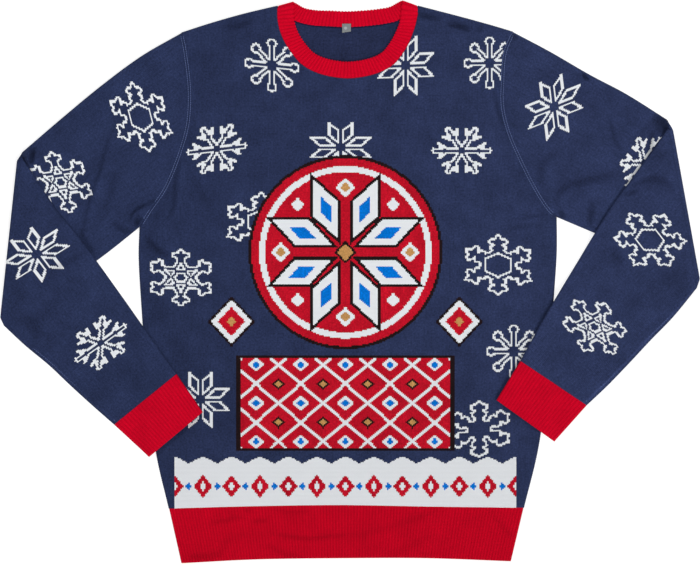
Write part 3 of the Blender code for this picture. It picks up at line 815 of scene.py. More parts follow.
def on_stitches(add, place, stitch):
    """A place moved to the middle of its stitch, so that a pattern's edge steps as knit does.

    A stitch is a V: its row is the whole part of v + 0.9 p, where p is the share of the stitch
    from its edge to its middle.
    """
    x, y, z, p = stitch_axes(add, place, stitch, 1.0)
    row = add("Math", "MULTIPLY_ADD", p, STITCH_SLANT, y)
    cell = add("VectorMath", "FLOOR", add("CombineXYZ", x, row, z))
    cell = add("VectorMath", "ADD", cell, (0.5, 0.5 - STITCH_SLANT / 4, 0.0))
    return add("VectorMath", "MULTIPLY", cell, (*stitch, 1.0))


def flake_mask(add, stitch, kinds):
    """1 on the strokes of the snowflakes and 0 beside them.

    The angle round the centre is folded back and forth into half an arm, so that the strokes of
    half an arm draw them all.
    """
    place = on_stitches(add, add("Attribute", "flake", out="Vector"), stitch)
    number = add("SeparateXYZ", place, out="Z")
    mask = None
    for kind, arms, first, height in FLAKE_KINDS:
        if kind not in kinds:
            continue
        flat = add("VectorMath", "MULTIPLY", place, (1.0, 1 / height, 0.0))
        away = add("VectorMath", "LENGTH", flat, out="Value")
        x, y, _ = add("SeparateXYZ", flat, out="all")
        angle = add("Math", "SUBTRACT", add("Math", "ARCTAN2", y, x), np.radians(first))
        angle = add("Math", "PINGPONG", angle, np.pi / arms)
        folded = add("CombineXYZ", add("Math", "COSINE", angle), add("Math", "SINE", angle))
        folded = add("VectorMath", "SCALE", folded, Scale=away)
        drawn = add("Math", "LESS_THAN", nearest_stroke(add, folded, kind), 0.0)
        drawn = add("Math", "MULTIPLY", drawn, add("Math", "COMPARE", number, float(kind), 0.3))
        mask = drawn if mask is None else add("Math", "MAXIMUM", mask, drawn)
    return mask


def box_measure(add, offset, half_width, half_height):
    """The larger of |x| / half width and |y| / half height: below 1 inside the box."""
    offset = add("VectorMath", "MULTIPLY", offset, (1 / half_width, 1 / half_height, 0.0))
    x, y, _ = add("SeparateXYZ", add("VectorMath", "ABSOLUTE", offset), out="all")
    return add("Math", "MAXIMUM", x, y)


def picture_folds(add, place):
    """Each fold of the picture as a place: mirrored, in eighths, and over the two repeats."""
    folds = {}
    for fold, centre_y in sorted({row[:2] for row in PICTURE}):
        offset = add("VectorMath", "SUBTRACT", place, (PICTURE_X, centre_y, 0.0))
        x, y, _ = add("SeparateXYZ", offset, out="all")
        x, limit = add("Math", "ABSOLUTE", x), None
        if fold == "octant":
            y = add("Math", "ABSOLUTE", y)
            x, y = add("Math", "MAXIMUM", x, y), add("Math", "MINIMUM", x, y)
        if fold in REPEATS:
            half_x, half_y, *field = REPEATS[fold]
            x = add("Math", "PINGPONG", x, half_x)
            y = add("Math", "PINGPONG", y, half_y) if half_y else y
            limit = box_measure(add, offset, *field)
        folds[fold, centre_y] = add("CombineXYZ", x, y), limit
    return folds


def shape_measure(add, shape, place, x, y, half_width, half_height):
    """How far out a place lies in a shape of the picture: 1 is on its outline.

    A disc takes the distance, a diamond |x| + |y| and a box the larger of the two, each over the
    half sizes. A petal is the parallelogram between two upright lines and two slanting ones.
    """
    offset = add("VectorMath", "SUBTRACT", place, (x, y, 0.0))
    if shape == "box":
        return box_measure(add, offset, half_width, half_height)
    offset = add("VectorMath", "MULTIPLY", offset, (1 / half_width, 1 / half_height, 0.0))
    if shape == "disc":
        return add("VectorMath", "LENGTH", offset, out="Value")
    if shape == "diamond":
        offset = add("VectorMath", "ABSOLUTE", offset)
        return add("VectorMath", "DOT_PRODUCT", offset, (1.0, 1.0, 0.0), out="Value")
    measures = []
    for lean, middle, half in PETAL:
        away = add("VectorMath", "DOT_PRODUCT", offset, lean, out="Value")
        away = add("Math", "ABSOLUTE", add("Math", "SUBTRACT", away, middle))
        measures.append(add("Math", "DIVIDE", away, half))
    return add("Math", "MAXIMUM", *measures)


def lay_picture(add, colour, place, yarns):
    """The colour with every row of the picture laid over it, one after another."""
    folds = picture_folds(add, place)
    for fold, centre_y, shape, x, y, half_width, half_height, low, high, yarn in PICTURE:
        folded, limit = folds[fold, centre_y]
        measure = shape_measure(add, shape, folded, x, y, half_width, half_height)
        inside = add("Math", "LESS_THAN", measure, high)
        if low:
            inside = add("Math", "MULTIPLY", inside, add("Math", "GREATER_THAN", measure, low))
        if limit is not None:
            inside = add("Math", "MULTIPLY", inside, add("Math", "LESS_THAN", limit, 1.0))
        colour = add("Mix", "RGBA", inside, *UNUSED, colour, yarns[yarn], out=2)
    return colour


def stitch_height(add, place, stitch, reverse=False):
    """Height of the stitches, from 0 in the gaps to 1 on the yarn.

    With p the share of a stitch from its edge to its middle, a leg of the V is
    1 - (4 p - 1)^2 across, and 1 - (2 q - 1)^2 along, where q is the fraction of v + 0.9 p. The
    reverse side has bars: mostly the second part, with little slant.
    """
    _, y, _, p = stitch_axes(add, place, stitch, 0.0)
    slant, weight = (0.25, 0.25) if reverse else (STITCH_SLANT, 0.6)
    leg = add("Math", "MULTIPLY_ADD", p, 4.0, -1.0)
    leg = add("Math", "SUBTRACT", 1.0, add("Math", "MULTIPLY", leg, leg))
    q = add("Math", "FRACT", add("Math", "MULTIPLY_ADD", p, slant, y))
    q = add("Math", "MULTIPLY_ADD", q, 2.0, -1.0)
    loop = add("Math", "SUBTRACT", 1.0, add("Math", "MULTIPLY", q, q))
    leg = add("Math", "MULTIPLY_ADD", leg, weight, 1 - weight)
    return add("Math", "MULTIPLY", leg, loop)


def finish_yarn(add, shader, colour, place, height, depth, noise=1.0):
    """Shades the colour between the stitches and along uneven yarn, and raises the stitches.

    The colour is multiplied by 0.8 + 0.22 height, which paints shade in the gaps between the
    stitches, and by three noises: streaks that follow the columns, broad faint patches and a grain
    of a few stitches. The noises show less on pale yarn. The painted shade of the creases is taken
    off at the end.
    """
    noises = (
        # place, scale, detail, roughness, gain, least
        (place, 0.42, 3.0, 0.7, 1.9, 0.05),
        (add("VectorMath", "MULTIPLY", place, (0.45, 0.05, 0.0)), 1.0, 2.0, 0.5, 0.5, 0.75),
        (place, 0.03, 4.0, 0.6, 0.9, 0.55),
    )
    uneven = None
    for where, scale, detail, rough, gain, least in noises:
        fac = add("TexNoise", out="Fac", Vector=where, Scale=scale, Detail=detail, Roughness=rough)
        fac = add("Math", "MULTIPLY_ADD", fac, gain, least)
        uneven = fac if uneven is None else add("Math", "MULTIPLY", uneven, fac)
    uneven = add("Math", "SUBTRACT", uneven, 1.0)
    share = add("Math", "MULTIPLY_ADD", add("RGBToBW", colour), -1.15 * noise, noise)
    uneven = add("Math", "MULTIPLY_ADD", uneven, share, 1.0)
    # Painted shade in the gaps between the stitches
    shade = add("Math", "MULTIPLY_ADD", height, 0.22, 0.80)
    shade = add("Math", "MULTIPLY", shade, uneven)
    # Painted shade of the creases, read from the shade attribute
    crease = add("Math", "SUBTRACT", 1.0, add("Attribute", "shade", out="Fac"))
    shade = add("Math", "MULTIPLY", shade, crease)
    link(shader, "Base Color", add("VectorMath", "SCALE", colour, Scale=shade))
    fuzz = add("TexNoise", out="Fac", Vector=place, Scale=1.6, Detail=2.0)
    rough = add("Math", "MULTIPLY_ADD", fuzz, 0.35, height)
    link(shader, "Normal", add("Bump", Height=rough, Strength=0.8, Distance=depth * MM))


def jersey(settings, name, kinds=(), picture=False, reverse=False):
    """Acrylic jersey, machine knitted: matt, with rows of small Vs and faint uneven columns.

    Its ground goes from one colour at the left of the garment to a lighter, greyer one at its
    right: painted light, as if more light fell on the right. Colourwork is laid over it. The
    reverse is a little darker, with crosswise bars. The material of this name is made once.
    """
    if name in bpy.data.materials:
        return bpy.data.materials[name]
    near, far = settings.navy, settings.navy_right_lit
    if reverse:
        near = far = settings.navy_inside
    yarns = ("white", "red", "black", "blue", "tan")
    yarns = {yarn: opaque(getattr(settings, yarn)) for yarn in yarns}
    stitch = settings.stitch_width / MM, settings.stitch_height / MM
    material, add, shader = new_material(name, 0.92)
    place = add("UVMap", "cloth")
    side = add("SeparateXYZ", add("TexCoord", out="Object"))
    # Painted light: the ground is lighter and greyer towards the right, as if more light fell
    # there
    fade = add("MapRange", "SMOOTHSTEP", side, -0.3, 0.4)
    colour = add("Mix", "RGBA", fade, *UNUSED, opaque(near), opaque(far), out=2)
    if kinds:
        mask = flake_mask(add, stitch, kinds)
        colour = add("Mix", "RGBA", mask, *UNUSED, colour, yarns["white"], out=2)
    if picture:
        colour = lay_picture(add, colour, on_stitches(add, place, stitch), yarns)
    height = stitch_height(add, place, stitch, reverse)
    finish_yarn(add, shader, colour, place, height, 0.5)
    return material


def rib_material(name, colour, pitch, groove_shade):
    """Acrylic rib, one stitch plain and one purl: matt, with dark grooves between the ribs.

    The grooves are painted shade: they take the groove shade times (1 - 2 r)^3 off the colour,
    where r is the share of a rib from its groove to its crest.
    """
    if name in bpy.data.materials:
        return bpy.data.materials[name]
    material, add, shader = new_material(name, 0.9)
    place = add("UVMap", "cloth")
    ribs = add("Math", "MULTIPLY", add("SeparateXYZ", place), 1 / pitch)
    # Painted shade in the grooves between the ribs
    groove = add("Math", "MULTIPLY_ADD", add("Math", "PINGPONG", ribs, 0.5), -2.0, 1.0)
    groove = add("Math", "POWER", groove, 3.0)
    light = add("Math", "MULTIPLY_ADD", groove, -groove_shade, 1 + groove_shade / 8)
    shaded = add("VectorMath", "SCALE", colour, Scale=light)
    height = stitch_height(add, place, (pitch / 2, 1.9))
    finish_yarn(add, shader, shaded, place, height, 0.45, 0.4)
    return material


def label_material(colour):
    """Polyester satin label, woven: smooth grey with a fine crosswise rib and a plain round mark.

    The real weave is too fine to show, so its rib is drawn coarser, with painted shade in its
    troughs.
    """
    material, add, shader = new_material("polyester_satin_label", 0.55)
    spot = add("UVMap", "cloth")
    weave = add("TexWave", "Y", Vector=spot, Scale=0.9, Distortion=0.5, out="Fac")
    # Painted shade: the weave's troughs are darker
    light = add("Math", "MULTIPLY_ADD", weave, 0.2, 0.86)
    shaded = add("VectorMath", "SCALE", colour, Scale=light)
    beside, share, radius = LABEL_MARK
    middle = (LABEL_CENTRE_X + beside, LABEL_TOP_Y - share * LABEL_DROP, 0.0)
    away = add("VectorMath", "DISTANCE", spot, middle, out="Value")
    marked = add("Math", "LESS_THAN", away, radius)
    pale = opaque(1.7 * np.array(colour))
    link(shader, "Base Color", add("Mix", "RGBA", marked, *UNUSED, shaded, pale, out=2))
    link(shader, "Normal", add("Bump", Height=weave, Strength=0.3, Distance=0.0001))
    return material


def thread_material(name, colour):
    """Polyester sewing thread, twisted: a little smoother than the knit, with a fine twist."""
    material, add, shader = new_material(name, 0.6)
    noise = add("TexNoise", out="Fac", Vector=add("TexCoord", out="Object"), Scale=900.0)
    light = add("Math", "MULTIPLY_ADD", noise, 0.4, 0.8)
    link(shader, "Base Color", add("VectorMath", "SCALE", colour, Scale=light))
    return material


def yarn_material(name, colour):
    """Acrylic yarn, loosely twisted: matt, with slanting darker lines between its plies."""
    material, add, shader = new_material(name, 0.9)
    spot = add("TexCoord", out="Object")
    ply = add("TexWave", "DIAGONAL", Vector=spot, Scale=240.0, Distortion=1.0, out="Fac")
    # Painted shade: the lines between the plies are darker
    light = add("Math", "MULTIPLY_ADD", ply, 0.3, 0.75)
    link(shader, "Base Color", add("VectorMath", "SCALE", colour, Scale=light))
    return material


def settle(piece, nodes):
    """Rides the piece on the garment's one body, in place of its nodes."""
    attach(piece, "root")
    if nodes:
        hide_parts(*nodes)


class SweaterSettings(bpy.types.PropertyGroup):
    """Sizes and colours of the knit."""

    # Real stitches of so fine a knit are too small to show, so these are drawn coarser.
    stitch_width: FloatProperty(
        name="Stitch Width", description="Width of one jersey stitch", default=0.002, unit="LENGTH"
    )
    stitch_height: FloatProperty(
        name="Stitch Height",
        description="Height of one row of the jersey",
        default=0.00165,
        unit="LENGTH",
    )
    hem_pitch: FloatProperty(
        name="Hem Rib", description="From one hem rib to the next", default=0.004, unit="LENGTH"
    )
    band_pitch: FloatProperty(
        name="Neck Rib", description="From one neck rib to the next", default=0.0049, unit="LENGTH"
    )
    cuff_pitch: FloatProperty(
        name="Cuff Rib", description="From one cuff rib to the next", default=0.0048, unit="LENGTH"
    )
    rib_height: FloatProperty(
        name="Rib Height", description="Height of a rib", default=0.0006, unit="LENGTH"
    )
    navy: FloatVectorProperty(
        name="Navy",
        description="Ground colour at the left of the garment",
        default=linear("#2a3455"),
        subtype="COLOR",
    )
    # Painted light: the ground at the right is lighter and greyer, as if more light fell there
    navy_right_lit: FloatVectorProperty(
        name="Navy Right Lit",
        description="Ground colour at the right of the garment",
        default=linear("#2f395c"),
        subtype="COLOR",
    )
    navy_inside: FloatVectorProperty(
        name="Navy Inside",
        description="Colour of the reverse",
        default=linear("#262e4c"),
        subtype="COLOR",
    )
    neck_red: FloatVectorProperty(
        name="Neck Red", description="Neckband", default=linear("#d60026"), subtype="COLOR"
    )
    hem_red: FloatVectorProperty(
        name="Hem Red", description="Hem ribs", default=linear("#c40020"), subtype="COLOR"
    )
    cuff_red: FloatVectorProperty(
        name="Cuff Red", description="Cuffs", default=linear("#cc0024"), subtype="COLOR"
    )
    # Partly painted shade: the linking chains are real, and their red is darker than the ribs' to
    # stand in for the shade at the seams' edges
    linking_red: FloatVectorProperty(
        name="Linking Red", description="Seams", default=linear("#a00a1f"), subtype="COLOR"
    )
    # Painted shadow: the back neck chain is coloured near black to stand in for the shade under
    # the band
    linking_shadow: FloatVectorProperty(
        name="Linking Shadow",
        description="Back neck seam",
        default=linear("#1b1733"),
        subtype="COLOR",
    )
    white: FloatVectorProperty(
        name="White", description="White yarn", default=linear("#eff2f6"), subtype="COLOR"
    )
    red: FloatVectorProperty(
        name="Red", description="Red yarn", default=linear("#c51128"), subtype="COLOR"
    )
    black: FloatVectorProperty(
        name="Black", description="Black yarn", default=linear("#211517"), subtype="COLOR"
    )
    blue: FloatVectorProperty(
        name="Blue", description="Blue yarn", default=linear("#0175d8"), subtype="COLOR"
    )
    tan: FloatVectorProperty(
        name="Tan", description="Tan yarn", default=linear("#c9965a"), subtype="COLOR"
    )
    label_grey: FloatVectorProperty(
        name="Label Grey", description="Label", default=linear("#7d8183"), subtype="COLOR"
    )


class StageSettings(bpy.types.PropertyGroup):
    """Light and camera of the stage."""

    sky: FloatProperty(name="Sky", description="Strength of the even light", default=0.43)
    main_lamp: FloatProperty(name="Main Lamp", description="Light from the right", default=1.75)
    fill_lamp: FloatProperty(name="Fill Lamp", description="Light from the left", default=0.95)
    camera_height: FloatProperty(
        name="Camera Height", description="Camera above the floor", default=6.0, unit="LENGTH"
    )
    view_width: FloatProperty(
        name="View Width", description="Width that the camera sees", default=0.910, unit="LENGTH"
    )


class SWEATER_OT_front(bpy.types.Operator):
    """Front of the body, which lies on the back with a soft rise and a few creases"""

    bl_idname = "sweater.front"
    bl_label = "Front Panel"

    def execute(self, context):
        settings = context.scene.sweater
        plan = body_plan(FRONT_NECK, FRONT_NECK_COLUMNS)
        edges = edge_distance(plan)
        from_edge = np.minimum.reduce(edges)
        turned = rounded(np.minimum.reduce(edges[1:]), EDGE_ROUND)
        x, y = plan[..., 0], plan[..., 1]
        waves = np.sin(x / 61 + y / 210) + np.sin(y / 83 - x / 150 + 1.1)
        inward = smoothstep(from_edge / LOFT_RUN)
        # Painted shade in the creases; the front is also darker towards the hem
        folds, shade = creases(plan, "body")
        shade += LOW_SHADE * smoothstep((10 - y) / 230)
        soft = (BODY_LOFT + BODY_WAVE * waves) * inward
        soft = soft + smoothstep(from_edge / 8) * folds + inward * swell(plan, BODY_SWELL)
        low = CLOTH + LAYER_GAP + soft
        sewn = smoothstep((np.arange(plan.shape[0])[:, None] - SIDE_ROWS) / 4)
        high = low + CLOTH - FRONT_EDGE_DROP * (1 - 0.8 * sewn) * (1 - turned)
        outside = jersey(settings, "acrylic_jersey_colourwork", (1, 2, 3, 4, 5, 6), picture=True)
        inside = jersey(settings, "acrylic_jersey_reverse", reverse=True)
        piece = flat_wall("front_knit", plan, low, high, (outside, inside), shade=shade)
        place_flakes(piece, "body", np.arange((plan.shape[0] - 1) * (plan.shape[1] - 1)))
        settle(piece, ["front_panel"])
        return {"FINISHED"}


class SWEATER_OT_back(bpy.types.Operator):
    """Back of the body, flat on the surface, with its turned edges a little off it"""

    bl_idname = "sweater.back"
    bl_label = "Back Panel"

    def execute(self, context):
        settings = context.scene.sweater
        plan = body_plan(BACK_NECK[::-1], BACK_NECK_COLUMNS)
        turned = rounded(np.minimum.reduce(edge_distance(plan)[1:]), EDGE_ROUND)
        rows, columns = (np.unique([*range(0, count, 2), count - 1]) for count in plan.shape[:2])
        plan, turned = plan[np.ix_(rows, columns)], turned[np.ix_(rows, columns)]
        inside = jersey(settings, "acrylic_jersey_reverse", reverse=True)
        materials = (inside, jersey(settings, "acrylic_jersey_plain"))
        piece = flat_wall("back_knit", plan, BACK_EDGE_LIFT * (1 - turned), CLOTH, materials)
        settle(piece, ["back_panel"])
        return {"FINISHED"}


def rib_rows(first, length, rows):
    """Distances from the seam of a rib's rows, which crowd at the seam and the free edge."""
    middle = np.linspace(RIB_FADE, length - 2.0, rows)
    return np.concatenate([[first, 1.4], middle, [length - 1.0, length - 0.4, length]])


class SWEATER_OT_hem(bpy.types.Operator):
    """The two hem ribs, one stitch plain and one purl, under the front and under the back"""

    bl_idname = "sweater.hem"
    bl_label = "Hem Ribs"

    def layer(self, settings, name, node, rows, shape):
        """One rib of the given rows, between the two heights that shape gives."""
        pitch = settings.hem_pitch / MM
        ribs = round(np.ptp(np.array(HEM_LINES)[:, 0]) / pitch)
        shares = np.linspace(0, 1, RIB_COLUMNS * ribs + 1)
        seam, edge = (smooth_curve(HEM_LINES, shares, *pair) for pair in ((0, 1), (2, 3)))
        length = np.linalg.norm(edge - seam, axis=1).mean()
        down = rib_rows(SEAM_GAP, length, rows)
        plan = seam[None] + (down / length)[:, None, None] * (edge - seam)[None]
        place = np.arange(plan.shape[1]) / RIB_COLUMNS
        crest = np.sin(np.pi * place)[None] ** 2
        cloth = np.dstack(np.meshgrid(place * pitch, -down))
        from_end = length - down
        grow = smoothstep(down / RIB_FADE) * (1 - 0.6 * smoothstep(1 - from_end / 2))
        free_edge = np.clip(1 - from_end, 0, 1)[:, None] ** 2
        sides = np.minimum(*edge_distance(plan)[2:])
        turned, inward = rounded(sides, EDGE_ROUND), smoothstep(sides / 10)
        inward = inward * smoothstep(down / 12)[:, None]
        low, high, shade = shape(settings, plan, crest, grow[:, None], free_edge, turned, inward)
        materials = (rib_material("acrylic_rib_hem", settings.hem_red, pitch, 0.3),)
        piece = flat_wall(name, plan, low, high, materials, cloth, shade)
        settle(piece, [node])
        return piece

    def front(self, settings, plan, crest, grow, free_edge, turned, inward):
        """The front rib's two heights and its shade: ribs and creases on the front's level."""
        relief = (1.4 * crest - 0.4) * settings.rib_height / MM * grow
        # Painted shade in the hem rib's creases
        folds, shade = creases(plan, "hem")
        soft = (swell(plan * (1.6, 3.0), HEM_SWELL) + 0.6 * folds) * inward
        low = CLOTH + LAYER_GAP + HEM_UNDER_ROLL * free_edge + soft
        drop = FRONT_EDGE_DROP * (1 - turned) * (1 - free_edge) + RIB_EDGE_ROLL * free_edge
        return low, 2 * CLOTH + LAYER_GAP + soft - drop + relief, shade

    def back(self, settings, plan, crest, grow, free_edge, turned, inward):
        """The back rib's two heights: grooves from below, and a plain face above."""
        groove = 0.35 * (1 - crest) * grow * turned
        roll = HEM_UNDER_ROLL * free_edge
        return roll + HEM_EDGE_LIFT * (1 - turned) * (1 - free_edge) + groove, CLOTH - roll, None

    def execute(self, context):
        settings = context.scene.sweater
        back = self.layer(settings, "back_hem_knit", "back_hem_rib", RIB_ROWS, self.back)
        front = self.layer(settings, "front_hem_knit", "front_hem_rib", HEM_ROWS, self.front)
        return {"FINISHED"}


def neckband_arc(table, height, facing, trim, pitch):
    """Sections along one arc of the neckband: seam points, directions across and facings."""
    corners = smooth_curve(table, np.linspace(0, 1, 240))
    length = run_length(corners[:, :2])
    ribs = round(length[-1] / pitch)
    count = RIB_COLUMNS * ribs
    seam = read_at(corners, length, np.linspace(trim, length[-1] - trim, count + 1))
    lean = np.radians(seam[:, 2])
    across = np.column_stack([np.cos(lean), np.sin(lean), 0 * lean])
    middle = np.column_stack([seam[:, :2], np.full(count + 1, height)])
    normal = np.tile([0.0, 0.0, facing], (count + 1, 1))
    return middle, across, normal, np.linspace(0, ribs, count + 1)


class SWEATER_OT_neckband(bpy.types.Operator):
    """The neckband, one ring of rib that turns over at both shoulder points"""

    bl_idname = "sweater.neckband"
    bl_label = "Neckband"

    def execute(self, context):
        settings = context.scene.sweater
        pitch = settings.band_pitch / MM
        low_mid = BAND_THICKNESS / 2
        high_mid = low_mid + BAND_THICKNESS + LAYER_GAP + BAND_LIFT
        turn = (high_mid - low_mid) / 2
        trim = turn + low_mid
        front = neckband_arc(FRONT_NECK, high_mid, 1, trim, pitch)
        back = neckband_arc(BACK_NECK, low_mid, -1, trim, pitch)
        parts, first = [], 0.0
        for this, other, facing in ((front, back, 1), (back, front, -1)):
            parts.append((*this[:3], this[3] + first))
            first += this[3][-1]
            lean = unit(this[1][-1] + other[1][0])
            outward = np.array([-lean[1], lean[0], 0]) * np.sign(lean[0])
            centre = (this[0][-1] + other[0][0]) / 2
            share = np.linspace(0, 1, TURN_STEPS + 1)[1:-1, None]
            spoke = facing * np.cos(np.pi * share) * np.array([[0, 0, 1.0]])
            spoke = spoke + np.sin(np.pi * share) * outward
            lean = np.tile(lean, (len(share), 1))
            parts.append((centre + turn * spoke, lean, spoke, share[:, 0] + first))
            first += 1
        middle, across, normal = (np.vstack([part[k] for part in parts]) for k in range(3))
        place = np.concatenate([part[3] for part in parts])
        rows = np.linspace(RIB_FADE, BAND_WIDTH - 1.6, 9)
        reach = np.concatenate([[SEAM_GAP, 1.4], rows, BAND_WIDTH - np.array([0.8, 0.3, 0])])
        from_edge = BAND_WIDTH - reach[:, None]
        thick = BAND_THICKNESS / 2 * (0.45 + 0.55 * rounded(from_edge, 1.6))
        grow = smoothstep(reach / RIB_FADE)[:, None] * (0.3 + 0.7 * smoothstep(from_edge / 1.5))
        up = normal[None, :, 2]
        at_turn = 1 - smoothstep((np.abs(up[0]) - 0.2) / 0.8)
        start = reach[:, None] + BAND_TURN_GAP * at_turn * (1 - smoothstep(reach / 4))[:, None]
        crest = np.sin(np.pi * place)[None] ** 2
        start = start - BAND_SCALLOP * (1 - crest) * smoothstep(1 - from_edge / 5)
        base = middle[None] + start[..., None] * across[None]
        relief = (1.4 * crest - 0.4) * settings.rib_height / MM * grow
        groove = -0.3 * (1 - crest) * grow
        above = thick + relief * np.clip(up, 0, 1) + groove * np.clip(-up, 0, 1)
        below = thick + relief * np.clip(-up, 0, 1) + groove * np.clip(up, 0, 1)
        outer = base + above[..., None] * normal[None]
        inner = base - below[..., None] * normal[None]
        cloth = np.dstack(np.meshgrid(np.append(place, first) * pitch, reach))
        materials = (rib_material("acrylic_rib_neckband", settings.neck_red, pitch, 0.31),)
        piece = knit_wall("neckband_knit", outer, inner, cloth, materials, closed=True)
        settle(piece, ["neckband"])
        return {"FINISHED"}


def drape_height(plan, supports):
    """Height of the forearm's underside: on the upper arm, on the body or on the surface."""
    heights = [np.zeros(plan.shape[:-1])]
    for start_x, start_y, end_x, end_y, top in supports:
        way = unit(np.array([end_x - start_x, end_y - start_y], float))
        offset = plan - np.array([start_x, start_y], float)
        inside = way[0] * offset[..., 1] - way[1] * offset[..., 0]
        heights.append(top * smoothstep((inside + DRAPE_RUN) / (DRAPE_RUN - DRAPE_EDGE)))
    return np.maximum.reduce(heights)


def settled_height(away, rest, top):
    """Height of the forearm at a distance from the elbow fold, where it settles to its rest."""
    settled = smoothstep(away / FOLD_RELAX)
    return np.maximum((1 - settled) * top + settled * rest, rest)


def tube_grids(middle, normal, across, rib, lifts):
    """Outer and inner grids of a flattened tube, with the columns round it.

    Each section has a layer above and a layer below its middle line, half the tube's height times
    a quarter ellipse away from it. lifts are added to the height of the two layers.
    """
    width = np.linalg.norm(middle[:, -1] - middle[:, 0], axis=1)[:, None]
    turned = rounded(np.minimum(across, 1 - across)[None] * width, EDGE_ROUND)
    share = CLOTH / width + (1 - 2 * CLOTH / width) * across[None]
    inner_middle = np.stack([read_at(row, across, at) for row, at in zip(middle, share)])

    def ring(line, height):
        """The layer above the line, then the one below it the other way round."""
        above = line + height[..., None] * normal
        below = line - height[..., None] * normal
        above[..., 2] += lifts[0]
        below[..., 2] += lifts[1]
        return np.concatenate([above, below[:, -2:0:-1]], axis=1)

    return ring(middle, TUBE_HALF * turned + rib), ring(inner_middle, (TUBE_HALF - CLOTH) * turned)


def arm_plan(table):
    """Plan points of one part of an arm: sections between its upper and its under edge."""
    upper = smooth_curve(table, SLEEVE_SHARES, 0, 1)[:, None]
    under = smooth_curve(table, SLEEVE_SHARES, 2, 3)[:, None]
    return upper + ACROSS[None, :, None] * (under - upper)


def elbow_fold(last, first):
    """Sections that turn an arm over, from the upper arm's last row to the forearm's first."""
    axis_way = unit(last[-1] - last[0])
    outward = np.array([axis_way[1], -axis_way[0], 0]) * np.sign(axis_way[1] * last[0, 0])
    middle, normal = [], []
    for share in np.linspace(0, 1, FOLD_STEPS + 1)[1:-1]:
        angle = np.pi * share
        row = (1 - share) * last + share * first
        row = row + np.outer(1 - 2 * ACROSS, axis_way) * FOLD_CORNER * np.sin(angle)
        spoke = np.sin(angle) * outward - np.cos(angle) * np.array([0, 0, 1])
        level = np.column_stack([row, np.full(len(row), TUBE_HALF + FOLD_RADIUS)])
        middle.append(level + FOLD_RADIUS * spoke)
        normal.append(-spoke)
    return middle, normal, outward[:2]


def unrolled(upper, lower, outward, knit_way):
    """Cloth millimetres of a sleeve's sections, as if it lay straight again.

    The forearm is mirrored about the elbow fold and moved out by the fold's length. All of it is
    then turned, so that the knit's columns run up the cloth.
    """
    fold_way = np.pi * FOLD_RADIUS * outward
    mirror = np.eye(2) - 2 * np.outer(outward, outward)
    fold = upper[-1][None] + np.linspace(0, 1, FOLD_STEPS + 1)[1:-1, None, None] * fold_way
    flat = [upper, fold, (lower - lower[0, 0]) @ mirror + lower[0, 0] + fold_way]
    way = np.radians(knit_way - 90)
    turn = np.array([[np.cos(way), -np.sin(way)], [np.sin(way), np.cos(way)]])
    return np.concatenate(flat) @ turn


